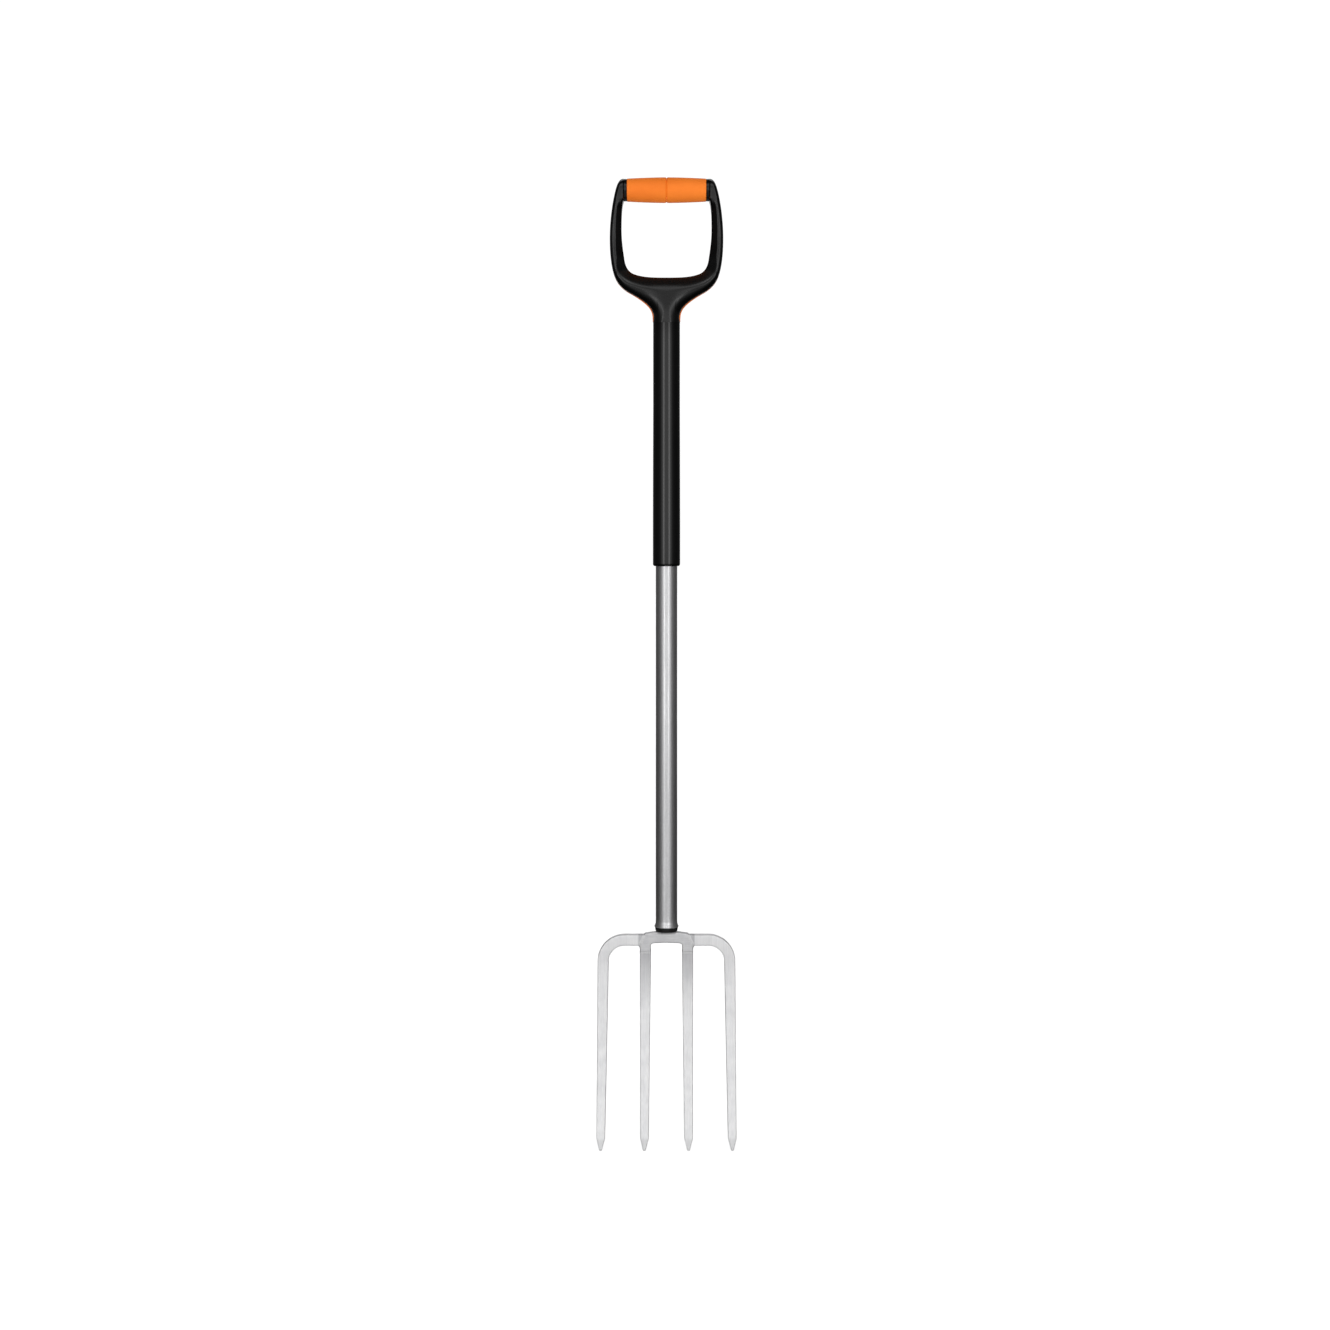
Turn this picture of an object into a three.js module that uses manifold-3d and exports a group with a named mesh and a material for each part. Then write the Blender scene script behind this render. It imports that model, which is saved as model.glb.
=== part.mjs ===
// A digging fork: four flat tines on a forged bridge, a steel tube shaft with a
// plastic sleeve, and a D-handle with a soft grip.
// Millimetres, +Z up along the shaft, +X to the right, the front faces -Y.
// Heights are counted up from the tine tips; the last lines move the origin to
// the place under the grip where the fork hangs on a peg.

import * as THREE from 'three';
import { mergeVertices } from 'three/addons/utils/BufferGeometryUtils.js';
import Module from 'manifold-3d';

const wasm = await Module();
wasm.setup();

// ---------- driving dimensions ----------

const GAP = 0.3; // room between pieces that touch

// tines
const POINT_LENGTH = 14.5;
const TIP_WIDTH = 2.8;
const TINE_WIDTH_LOW = 10.3;
const TINE_WIDTH_ROOT = 13.1;
const TINE_THICK_LOW = 6.5;
const TINE_THICK_ROOT = 9.0;
const TINE_BOW = 24; // how far the tips come forward of the shaft
const BOW_POWER = 1.6;
const INNER_ROOT_X = 25.5;
const INNER_TIP_X = 26.6;
const OUTER_TIP_X = 79.4;
const CORNER_R = 1.8; // rounding of a bar's long edges

// shoulder bar and bridge
const BAR_HEIGHT = 13.3;
const BAR_THICK = 10;
const BAR_TOP_Z = 258.4;
const BAR_MID_Z = BAR_TOP_Z - BAR_HEIGHT / 2;
const BAR_LOW_Z = BAR_TOP_Z - BAR_HEIGHT;
const BEND_X = 50.4; // where the straight shoulder turns into the bend
const BEND_R = 26.2;
const BRIDGE_TOP_Z = 261.8;
const ARCH_Z = 249.0;
const STUB_Z = 237.6;
const SEAM_LOW_X = 32.4; // the slanted weld seam, at the shoulder's underside
const SEAM_LEAN = 0.44;
const WELD_HALF = 1.0;
const WELD_PROUD = 0.35;

// neck and shaft
const BOSS_TOP_Z = 262.2;
const BOSS_LOW_Z = BOSS_TOP_Z - 1.5;
const BOSS_R = 12.9;
const TANG_R = 11.2;
const TANG_TOP_Z = 335;
const RING_LOW_Z = BOSS_TOP_Z + GAP;
const RING_TOP_Z = 267.6;
const TUBE_LOW_Z = RING_TOP_Z + GAP;
const TUBE_TOP_Z = 984;
const TUBE_R = 13;
const TUBE_BORE_R = 11.5;
const FLARE_R = 14.8;

// sleeve
const SEAT_Z = 989.3;
const SLEEVE_LOW_Z = 702.6;
const SLEEVE_TOP_Z = SEAT_Z - GAP;
const SLEEVE_R_LOW = 16.4;
const SLEEVE_R_TOP = 16;

// D-handle, heights in it counted up from its seat on the sleeve
const NECK_R = 16;
const NECK_DROP = 12; // how far the outline runs on below the seat before the cut
const ARM_TOP = 169;
const GRIP_AXIS = 155.9;
const HALF_WIDTH = 66.9;
const ARM_FACE_X = 50.2; // inner face of each arm beside the grip
const HOLE_LOW = 53.6;
const CHAMFER = [[42, 13.8], [60, 12.2], [80, 8.6], [104, 7], [140, 6]]; // slope round the hole, by height
const CHAMFER_STEEP = [[44, 0.6], [66, 0.7], [100, 0.92]];
const WALL_HALF = 2.0; // half height of the straight edge at the parting line
const PAD_THICK = 2.7;
const PAD_LOW = 2.2;
const PAD_INNER = 14.5; // distance of the pad from the hand hole across the yoke
const PAD_SPLIT_Y = -1.5; // front edge of the pad along the flanks
const PAD_SWEEP = [46, 86]; // heights between which that edge sweeps to the back
const SLIVER = 1; // how far the pad's edge stands out beyond the front half
const SPIGOT_R = 11.2;
const SPIGOT_LENGTH = 88;

// grip
const CORE_R = 7.8;
const CORE_END_X = 56;
const FLANGE_R = 12.8;
const FLANGE_X = 46.7;
const GRIP_END_R = 13.2;
const GRIP_MID_R = 14.7;
const GROOVE_X = 1.2;
const GROOVE_DEPTH = 0.6;

// screws in the back of the sleeve
const SCREW_DROPS = [34, 70]; // below the seat
const SCREW_HEAD_R = 4;
const SCREW_HEAD_HEIGHT = 2.4;
const SCREW_SHANK_R = 2.1;
const SCREW_LENGTH = 11; // from the point to the seat of the head
const SOCKET_R = 1.5;

// place under the grip that becomes the origin
const HANG_Z = SEAT_Z + GRIP_AXIS - GRIP_MID_R;

// ---------- finishes ----------

const STEEL = { color: 0xc9cacc, roughness: 0.42, metalness: 0.9 };
const WELD = { color: 0xb4b5b7, roughness: 0.5, metalness: 0.9 };
const TUBE = { color: 0x9a9b9d, roughness: 0.32, metalness: 0.95 };
const BLACK = { color: 0x1b1c1e, roughness: 0.45, metalness: 0 };
const RUBBER = { color: 0x101112, roughness: 0.6, metalness: 0 };
const ORANGE = { color: 0xf58124, roughness: 0.55, metalness: 0 };
const SCREW = { color: 0x55585c, roughness: 0.35, metalness: 1 };

// ---------- helpers ----------

const clamp01 = (value) => Math.min(1, Math.max(0, value));
const mix = (a, b, t) => a + (b - a) * t;

function smooth(from, to, value) {
  const t = clamp01((value - from) / (to - from));
  return t * t * (3 - 2 * t);
}

// Reads a row of [place, value] pairs with an eased step between neighbours.
function eased(row, place) {
  const last = row.findIndex(([at]) => at >= place);
  if (last === 0) return row[0][1];
  if (last < 0) return row[row.length - 1][1];
  const [a, b] = [row[last - 1], row[last]];
  return mix(a[1], b[1], smooth(a[0], b[0], place));
}

function volumeOf(position, index) {
  const [a, b, c] = [new THREE.Vector3(), new THREE.Vector3(), new THREE.Vector3()];
  let sum = 0;
  for (let i = 0; i < index.length; i += 3) {
    a.fromBufferAttribute(position, index[i]);
    b.fromBufferAttribute(position, index[i + 1]);
    c.fromBufferAttribute(position, index[i + 2]);
    sum += a.dot(b.cross(c));
  }
  return sum / 6;
}

// Turns a closed geometry into a solid that can be cut and joined.
function solidOf(geometry) {
  const bare = new THREE.BufferGeometry();
  bare.setAttribute('position', geometry.getAttribute('position').clone());
  bare.setIndex(geometry.getIndex());
  const merged = mergeVertices(bare, 1e-4);
  const position = merged.getAttribute('position');
  const index = [];
  const all = merged.getIndex().array;
  for (let i = 0; i < all.length; i += 3) {
    const [a, b, c] = [all[i], all[i + 1], all[i + 2]];
    if (a !== b && b !== c && c !== a) index.push(a, b, c);
  }
  if (volumeOf(position, index) < 0) index.reverse();
  const mesh = new wasm.Mesh({
    numProp: 3,
    vertProperties: new Float32Array(position.array),
    triVerts: new Uint32Array(index),
  });
  return new wasm.Manifold(mesh);
}

function geometryOf(solid) {
  const mesh = solid.getMesh();
  const geometry = new THREE.BufferGeometry();
  geometry.setAttribute('position', new THREE.BufferAttribute(mesh.vertProperties, 3));
  geometry.setIndex(new THREE.BufferAttribute(mesh.triVerts, 1));
  geometry.computeVertexNormals();
  return geometry;
}

// A solid turned about Z from a profile of [radius, height] points that closes
// on itself or starts and ends on the axis.
function turned(profile, segments = 40) {
  const points = profile.map(([r, z]) => new THREE.Vector2(r, z));
  return solidOf(new THREE.LatheGeometry(points, segments).rotateX(Math.PI / 2));
}

// A capped skin over rings of points: a cylinder whose points move onto the rings.
function lofted(rings) {
  const steps = rings.length - 1;
  const sides = rings[0].length;
  const centres = rings.map((ring) =>
    ring.reduce((sum, p) => sum.add(p), new THREE.Vector3()).divideScalar(sides));
  const geometry = new THREE.CylinderGeometry(1, 1, 1, sides, steps);
  const position = geometry.getAttribute('position');
  const point = new THREE.Vector3();
  for (let i = 0; i < position.count; i += 1) {
    point.fromBufferAttribute(position, i);
    const row = Math.round((0.5 - point.y) * steps);
    const turn = Math.atan2(point.x, point.z) / (2 * Math.PI);
    const side = (Math.round(turn * sides) + sides) % sides;
    const onRim = Math.hypot(point.x, point.z) > 0.5;
    const target = onRim ? rings[row][side] : centres[row];
    position.setXYZ(i, target.x, target.y, target.z);
  }
  return solidOf(geometry);
}

// A flat outline in X and Z, given depth along Y from y0 to y1.
function slab(shape, y0, y1, bevel = 0) {
  const geometry = new THREE.ExtrudeGeometry(shape, {
    depth: y1 - y0 - 2 * bevel,
    bevelEnabled: bevel > 0,
    bevelThickness: bevel,
    bevelSize: bevel,
    bevelOffset: -bevel,
    bevelSegments: 2,
    curveSegments: 6,
  });
  return solidOf(geometry.rotateX(Math.PI / 2).translate(0, y1 - bevel, 0));
}

// A round bar along Y between two places.
function rodAlongY(from, to, radius, segments = 24) {
  const geometry = new THREE.CylinderGeometry(radius, radius, to - from, segments);
  return geometry.translate(0, (from + to) / 2, 0);
}

const fork = new THREE.Group();

function add(name, solid, finish) {
  const mesh = new THREE.Mesh(geometryOf(solid), new THREE.MeshStandardMaterial(finish));
  mesh.name = name;
  fork.add(mesh);
}

const SIDES = [['left', -1], ['right', 1]];

// ---------- tines ----------

// Rounded rectangle ring: `across` is the in-plane direction, the other one is Y.
function barRing(centre, across, width, thick) {
  const corners = [[1, 1, 0], [-1, 1, 1], [-1, -1, 2], [1, -1, 3]];
  const round = Math.min(CORNER_R, width * 0.45, thick * 0.45);
  return corners.flatMap(([a, b, quarter]) => [0, 0.5, 1].map((part) => {
    const angle = (quarter + part) * Math.PI / 2;
    const u = a * (width / 2 - round) + Math.cos(angle) * round;
    const v = b * (thick / 2 - round) + Math.sin(angle) * round;
    return new THREE.Vector3(centre.x + across.x * u, centre.y + v, centre.z + across.z * u);
  }));
}

const BOW_FROM_Z = BAR_MID_Z - BEND_R;

function bow(z) {
  return -TINE_BOW * clamp01((BOW_FROM_Z - z) / BOW_FROM_Z) ** BOW_POWER;
}

function bladeWidth(z) {
  if (z >= POINT_LENGTH) return mix(TINE_WIDTH_LOW, TINE_WIDTH_ROOT, (z - POINT_LENGTH) / 200);
  return mix(TIP_WIDTH, TINE_WIDTH_LOW, Math.sqrt(z / POINT_LENGTH) * 0.35 + z / POINT_LENGTH * 0.65);
}

function bladeThick(z) {
  if (z >= POINT_LENGTH) return mix(TINE_THICK_LOW, TINE_THICK_ROOT, (z - POINT_LENGTH) / 200);
  return mix(TIP_WIDTH, TINE_THICK_LOW, z / POINT_LENGTH);
}

// Heights at which a straight blade gets a ring, from the root down.
function bladeHeights(top) {
  const straight = [1, 0.84, 0.68, 0.52, 0.36, 0.2, 0.08].map((t) => mix(POINT_LENGTH, top, t));
  return [...straight, POINT_LENGTH, POINT_LENGTH * 0.6, POINT_LENGTH * 0.22, 0];
}

function straightBlade(side, rootX, tipX, top) {
  const across = new THREE.Vector3(1, 0, 0);
  return bladeHeights(top).map((z) => {
    const x = side * mix(tipX, rootX, z / top);
    return barRing(new THREE.Vector3(x, bow(z), z), across, bladeWidth(z), bladeThick(z));
  });
}

const seamX = (z) => SEAM_LOW_X - SEAM_LEAN * (z - BAR_LOW_Z);

// A ring across the shoulder bar, leaned to lie along the weld seam.
function seamRing(side, shift, grow = 0) {
  const centre = new THREE.Vector3(0, 0, BAR_MID_Z);
  const up = new THREE.Vector3(0, 0, 1);
  const ring = barRing(centre, up, BAR_HEIGHT + 2 * grow, BAR_THICK + 2 * grow);
  ring.forEach((p) => p.setX(side * (seamX(p.z) + shift)));
  return ring;
}

function outerTine(side) {
  const rings = [seamRing(side, WELD_HALF + GAP)];
  const bendCentreZ = BAR_MID_Z - BEND_R;
  const bendSteps = 8;
  const lean = Math.atan2(OUTER_TIP_X - BEND_X - BEND_R, bendCentreZ);
  for (let step = 0; step <= bendSteps; step += 1) {
    const angle = (step / bendSteps) * (Math.PI / 2 - lean);
    const across = new THREE.Vector3(side * Math.sin(angle), 0, Math.cos(angle));
    const centre = new THREE.Vector3(side * BEND_X, 0, bendCentreZ).addScaledVector(across, BEND_R);
    const t = step / bendSteps;
    const width = mix(BAR_HEIGHT, bladeWidth(centre.z), t);
    const thick = mix(BAR_THICK, bladeThick(centre.z), t);
    rings.push(barRing(centre, across, width, thick));
  }
  const rootX = BEND_X + BEND_R * Math.cos(lean);
  const blade = straightBlade(side, rootX, OUTER_TIP_X, bendCentreZ - 2);
  // the blade's rings run the same way round as the bend's last ring
  return lofted([...rings, ...blade.map((ring) => mirrorOrder(ring, side))]);
}

// barRing turns the other way when `across` points to -X.
function mirrorOrder(ring, side) {
  if (side > 0) return ring;
  const centre = ring.reduce((sum, p) => sum + p.x, 0) / ring.length;
  return ring.map((p) => new THREE.Vector3(2 * centre - p.x, p.y, p.z));
}

for (const [word, side] of SIDES) {
  add(`outer_tine_${word}`, outerTine(side), STEEL);
  const innerTop = STUB_Z - 2 * WELD_HALF - 2 * GAP;
  const inner = straightBlade(side, INNER_ROOT_X, INNER_TIP_X, innerTop);
  add(`inner_tine_${word}`, lofted(inner), STEEL);
}

// ---------- welds ----------

// Four rings give a flat slab with a slightly raised band all round it.
const WELD_RINGS = [[-1, 0], [-0.5, 1], [0.5, 1], [1, 0]];

for (const [word, side] of SIDES) {
  const slanted = WELD_RINGS.map(([at, high]) => seamRing(side, at * WELD_HALF, high * WELD_PROUD));
  add(`weld_outer_${word}`, lofted(slanted), WELD);
  const across = new THREE.Vector3(1, 0, 0);
  const level = WELD_RINGS.map(([at, high]) => {
    const z = STUB_Z - GAP - WELD_HALF - at * WELD_HALF;
    const centre = new THREE.Vector3(side * INNER_ROOT_X, 0, z);
    const grow = 2 * high * WELD_PROUD;
    return barRing(centre, across, bladeWidth(z) + grow, bladeThick(z) + grow);
  });
  add(`weld_inner_${word}`, lofted(level), WELD);
}

// ---------- bridge, neck ring and tube ----------

function bridgeShape() {
  const seamTopZ = BAR_TOP_Z + 1;
  const back = WELD_HALF + GAP;
  const stubIn = INNER_ROOT_X - TINE_WIDTH_ROOT / 2;
  const stubOut = INNER_ROOT_X + TINE_WIDTH_ROOT / 2;
  const shape = new THREE.Shape();
  shape.moveTo(-12, BRIDGE_TOP_Z - 0.2);
  shape.quadraticCurveTo(0, BRIDGE_TOP_Z + 0.1, 12, BRIDGE_TOP_Z - 0.2);
  shape.lineTo(seamX(seamTopZ) - back, seamTopZ);
  shape.lineTo(seamX(BAR_LOW_Z) - back, BAR_LOW_Z);
  shape.lineTo(stubOut, BAR_LOW_Z - 2.4);
  shape.lineTo(stubOut, STUB_Z);
  shape.lineTo(stubIn, STUB_Z);
  shape.lineTo(stubIn, ARCH_Z - 5.5);
  shape.quadraticCurveTo(stubIn, ARCH_Z - 0.8, stubIn - 5.5, ARCH_Z - 0.5);
  shape.quadraticCurveTo(0, ARCH_Z + 0.3, 5.5 - stubIn, ARCH_Z - 0.5);
  shape.quadraticCurveTo(-stubIn, ARCH_Z - 0.8, -stubIn, ARCH_Z - 5.5);
  shape.lineTo(-stubIn, STUB_Z);
  shape.lineTo(-stubOut, STUB_Z);
  shape.lineTo(-stubOut, BAR_LOW_Z - 2.4);
  shape.lineTo(back - seamX(BAR_LOW_Z), BAR_LOW_Z);
  shape.lineTo(back - seamX(seamTopZ), seamTopZ);
  shape.closePath();
  return shape;
}

// The neck boss flares from the bar's thickness to a round seat under the ring.
function boss() {
  const levels = 6;
  const sides = 36;
  const flatHalf = BAR_THICK / 2 - 0.4;
  return lofted(Array.from({ length: levels }, (_, level) => {
    const t = level / (levels - 1);
    const deep = mix(flatHalf, BOSS_R, t);
    return Array.from({ length: sides }, (__, side) => {
      const angle = (side / sides) * 2 * Math.PI;
      const z = mix(BOSS_LOW_Z, BOSS_TOP_Z, t);
      return new THREE.Vector3(Math.cos(angle) * BOSS_R, Math.sin(angle) * deep, z);
    });
  }));
}

const tang = turned([[0, BOSS_TOP_Z - 1], [TANG_R, BOSS_TOP_Z - 1], [TANG_R, TANG_TOP_Z - 3],
  [TANG_R - 2, TANG_TOP_Z], [0, TANG_TOP_Z]]);
const bar = slab(bridgeShape(), -BAR_THICK / 2, BAR_THICK / 2, 1.2);
add('head_bridge', bar.add(boss()).add(tang), STEEL);

const ringBore = TANG_R + GAP + 0.1;
add('neck_ring', turned([[ringBore, RING_LOW_Z], [12.4, RING_LOW_Z], [13.0, RING_LOW_Z + 0.8],
  [13.6, RING_LOW_Z + 2.4], [13.7, RING_TOP_Z - 0.5], [13.4, RING_TOP_Z],
  [ringBore, RING_TOP_Z], [ringBore, RING_LOW_Z]]), RUBBER);

// bore for a screw, from outside the back of the sleeve to inside the spigot
function screwBore(drop, radius, fromY, toY) {
  return solidOf(rodAlongY(fromY, toY, radius).translate(0, 0, SEAT_Z - drop));
}

let tube = turned([[TUBE_BORE_R, TUBE_LOW_Z], [FLARE_R - 0.5, TUBE_LOW_Z],
  [FLARE_R, TUBE_LOW_Z + 0.9], [FLARE_R - 0.1, TUBE_LOW_Z + 2.2],
  [TUBE_R + 0.3, TUBE_LOW_Z + 4.6], [TUBE_R, TUBE_LOW_Z + 6.6], [TUBE_R, TUBE_TOP_Z],
  [TUBE_BORE_R, TUBE_TOP_Z], [TUBE_BORE_R, TUBE_LOW_Z]]);
for (const drop of SCREW_DROPS) tube = tube.subtract(screwBore(drop, SCREW_SHANK_R + GAP, 5, 20));
add('shaft_tube', tube, TUBE);

// ---------- sleeve and screws ----------

const sleeveBore = TUBE_R + GAP;
let sleeve = turned([[sleeveBore, SLEEVE_LOW_Z], [SLEEVE_R_LOW - 1.9, SLEEVE_LOW_Z],
  [SLEEVE_R_LOW - 0.4, SLEEVE_LOW_Z + 0.9], [SLEEVE_R_LOW + 0.1, SLEEVE_LOW_Z + 2.6],
  [SLEEVE_R_LOW, SLEEVE_LOW_Z + 6], [SLEEVE_R_TOP, SLEEVE_TOP_Z - 40],
  [SLEEVE_R_TOP, SLEEVE_TOP_Z], [sleeveBore, SLEEVE_TOP_Z], [sleeveBore, SLEEVE_LOW_Z]]);
for (const drop of SCREW_DROPS) sleeve = sleeve.subtract(screwBore(drop, SCREW_HEAD_R + GAP, 8, 20));
add('shaft_sleeve', sleeve, BLACK);

function screw(drop) {
  const seatY = TUBE_R + GAP;
  const shank = SCREW_SHANK_R - 0.2;
  const top = SCREW_LENGTH + SCREW_HEAD_HEIGHT;
  const body = turned([[0, 0], [0.6, 0], [shank, 2], [shank, SCREW_LENGTH], [SCREW_HEAD_R, SCREW_LENGTH],
    [SCREW_HEAD_R, top - 0.9], [SCREW_HEAD_R - 1, top], [0, top]], 24);
  const socket = solidOf(rodAlongY(seatY + 1.1, seatY + 4, SOCKET_R, 6));
  return body.rotate([-90, 0, 0]).translate([0, seatY - SCREW_LENGTH, 0]).subtract(socket)
    .translate([0, 0, SEAT_Z - drop]);
}

SCREW_DROPS.forEach((drop, i) => add(`handle_screw_${['upper', 'lower'][i]}`, screw(drop), SCREW));

// ---------- D-handle ----------

// Right half of the outline, from the arm's top down to the neck.
const outline = new THREE.Path();
outline.moveTo(ARM_FACE_X + 0.2, ARM_TOP);
outline.quadraticCurveTo(56.2, ARM_TOP, 59.4, 157.8);
outline.bezierCurveTo(63.6, 142.6, HALF_WIDTH, 121, HALF_WIDTH, 98);
outline.bezierCurveTo(HALF_WIDTH, 79, 65, 60, 59, 49.8);
outline.bezierCurveTo(55.2, 43.4, 50.6, 39.9, 45.6, 36.6);
outline.bezierCurveTo(NECK_R - 1, 20.4, NECK_R, 13.8, NECK_R, 0);
outline.lineTo(NECK_R, -NECK_DROP);

// Right half of the hand hole, from beside the grip down to its lowest place.
const hole = new THREE.Path();
hole.moveTo(ARM_FACE_X, ARM_TOP);
hole.lineTo(ARM_FACE_X, 144);
hole.bezierCurveTo(52.6, 138, 53.1, 123, 53.1, 110);
hole.bezierCurveTo(53.1, 98, 51.6, 87, 50, 77);
hole.bezierCurveTo(49.2, 68, 46, 60.4, 37.9, 57.5);
hole.bezierCurveTo(27, HOLE_LOW, 14, HOLE_LOW, 0, HOLE_LOW);

// Half depth of the handle, front to back, by height. Above the grip's axis the
// arm's end is round about that axis.
const ARM_END_R = ARM_TOP - GRIP_AXIS;
const DEPTH = [[0, NECK_R], [10, NECK_R - 0.2], [40, 12.8], [62, 11], [100, 9.5], [150, ARM_END_R]];

function depthAt(z) {
  const above = clamp01((z - GRIP_AXIS) / ARM_END_R);
  return eased(DEPTH, z) * Math.sqrt(1 - above * above);
}

// Pairs of places along the two outlines that one section joins.
const JOINED = [[0, 0], [0.11, 0.07], [0.27, 0.19], [0.5, 0.42], [0.62, 0.57], [0.74, 0.7],
  [0.93, 0.9], [1, 0.985]];

const flankPoints = outline.getSpacedPoints(160).filter((p) => p.y < 40);

function neckHalfWidth(z) {
  const next = flankPoints.findIndex((p) => p.y <= z);
  if (next <= 0) return flankPoints[next < 0 ? flankPoints.length - 1 : 0].x;
  const [a, b] = [flankPoints[next - 1], flankPoints[next]];
  return mix(a.x, b.x, (a.y - z) / (a.y - b.y));
}

// The line in X and Z that one section follows from the outline to the hole.
function sectionLine(s) {
  if (s >= 1) return new THREE.LineCurve(new THREE.Vector2(0, -NECK_DROP), new THREE.Vector2(0, HOLE_LOW));
  const row = Math.max(1, JOINED.findIndex(([place]) => place >= s));
  const [a, b] = [JOINED[row - 1], JOINED[row]];
  const inAt = mix(a[1], b[1], (s - a[0]) / (b[0] - a[0]));
  const from = outline.getPointAt(s);
  const to = hole.getPointAt(inAt);
  const bend = smooth(34, 8, from.y);
  const straight = from.clone().add(to).multiplyScalar(0.5);
  const turn = new THREE.Vector2(Math.min(to.x, from.x * 0.25), from.y);
  return new THREE.QuadraticBezierCurve(from, straight.lerp(turn, bend), to);
}

// Rise of a rounded edge of the given radius at a distance in from the edge.
const roundRise = (distance, radius) => Math.sqrt(1 - (1 - clamp01(distance / radius)) ** 2);

function halfDepth(point, fromEdge, fromHole, inset) {
  const z = point.y;
  const most = depthAt(z);
  const inNeck = 1 - smooth(8, 60, z);
  const edgeR = mix(4.8, NECK_R, 1 - smooth(6, 60, z));
  const plain = roundRise(fromEdge, edgeR);
  const x = clamp01(Math.abs(point.x) / Math.max(1, neckHalfWidth(z) - inset));
  const share = mix(plain, Math.sqrt(1 - x * x), inNeck);
  const sideRise = WALL_HALF + (most - WALL_HALF) * share;
  const steep = eased(CHAMFER_STEEP, z) * (1 - smooth(132, 144, z));
  const width = eased(CHAMFER, z);
  const slope = most - steep * (width - Math.min(width, fromHole));
  const lip = mix(0.86, 1, roundRise(fromHole, 2.2));
  const depth = Math.min(sideRise, slope * lip, most);
  return Math.max(WALL_HALF - inset / 2, depth - inset);
}

// Places across a section: close together at both edges.
const ACROSS = 11;

function sectionRing(s, inset) {
  const line = sectionLine(Math.abs(s));
  const length = line.getLength();
  const mirror = Math.sign(s) || 1;
  const half = (front) => {
    const z = line.getPoint(0).y;
    const bare = front && Math.abs(s) < 1 ? smooth(52, 26, z) * smooth(0, 9, z) * SLIVER : 0;
    const start = inset + bare;
    return Array.from({ length: ACROSS }, (_, i) => {
      const t = i / (ACROSS - 1);
      const placed = mix(t, 0.5 - Math.cos(Math.PI * t) / 2, 0.75);
      const distance = mix(start, length - inset, placed);
      const flat = line.getPointAt(clamp01(distance / length));
      const y = halfDepth(flat, distance - start, length - inset - distance, inset);
      return new THREE.Vector3(mirror * flat.x, front ? -y : y, SEAT_Z + flat.y);
    });
  };
  return [...half(true), ...half(false).reverse()];
}

// Shares of the outline's length that get a section: close together round the
// arm's top, then even, then the middle of the neck.
const TOP_SECTIONS = 8;
const ARM_SECTIONS = 26;
const TOP_SHARE = 0.09;
const PLACES = [1];
for (let i = 0; i <= ARM_SECTIONS; i += 1) PLACES.push(mix(0.9999, TOP_SHARE, i / ARM_SECTIONS));
for (let i = TOP_SECTIONS - 1; i >= 0; i -= 1) PLACES.push(TOP_SHARE * (i / TOP_SECTIONS) ** 1.7 + 1e-6);
PLACES.reverse();

function handleBody(inset) {
  const left = PLACES.map((s) => sectionRing(-s, inset));
  const right = PLACES.map((s) => sectionRing(s, inset)).reverse();
  return lofted([...left, ...right.slice(1)]);
}

function padShape(grow) {
  const inner = [];
  for (const s of PLACES.filter((place) => place > 0.53)) {
    const line = sectionLine(s);
    const z = line.getPoint(0).y;
    const length = line.getLength();
    const keep = mix(PAD_INNER, length + 1, smooth(50, 84, z)) - grow;
    inner.push(line.getPointAt(clamp01(1 - keep / length)));
  }
  const low = PAD_LOW - grow;
  const right = inner.map((p) => new THREE.Vector2(p.x, SEAT_Z + p.y));
  const left = right.slice(0, -1).map((p) => new THREE.Vector2(-p.x, p.y)).reverse();
  const wide = 90;
  const first = right[0];
  return new THREE.Shape([
    new THREE.Vector2(wide, SEAT_Z + low), new THREE.Vector2(wide, first.y), ...right,
    ...left, new THREE.Vector2(-wide, first.y), new THREE.Vector2(-wide, SEAT_Z + low),
  ]);
}

// Side profile of the pad's room, which sweeps to the back where it climbs the arms.
function padProfile(grow) {
  const [from, to] = PAD_SWEEP;
  const profile = [[40, PAD_LOW - grow], [PAD_SPLIT_Y - grow, PAD_LOW - grow]];
  for (let step = 0; step <= 6; step += 1) {
    const t = step / 6;
    profile.push([PAD_SPLIT_Y - grow + 16 * t ** 1.6, mix(from, to, t) + grow]);
  }
  profile.push([40, to + grow]);
  return new THREE.Shape(profile.map(([y, z]) => new THREE.Vector2(y, SEAT_Z + z)));
}

// The room for the pad: its outline from the back and its profile from the side.
function padSpace(grow) {
  const depth = 180;
  const sideways = new THREE.ExtrudeGeometry(padProfile(grow), { depth, bevelEnabled: false });
  // the outline's two directions become Y and Z
  const turn = new THREE.Matrix4().makeBasis(
    new THREE.Vector3(0, 1, 0), new THREE.Vector3(0, 0, 1), new THREE.Vector3(1, 0, 0));
  sideways.applyMatrix4(turn).translate(-depth / 2, 0, 0);
  return slab(padShape(grow), -20, 40).intersect(solidOf(sideways));
}

const seatCut = slab(new THREE.Shape([
  new THREE.Vector2(-30, SEAT_Z - 30), new THREE.Vector2(30, SEAT_Z - 30),
  new THREE.Vector2(30, SEAT_Z), new THREE.Vector2(-30, SEAT_Z)]), -30, 30);
const body = handleBody(0).subtract(seatCut);
const core = handleBody(PAD_THICK + GAP);
const coreRoom = handleBody(PAD_THICK);

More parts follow.
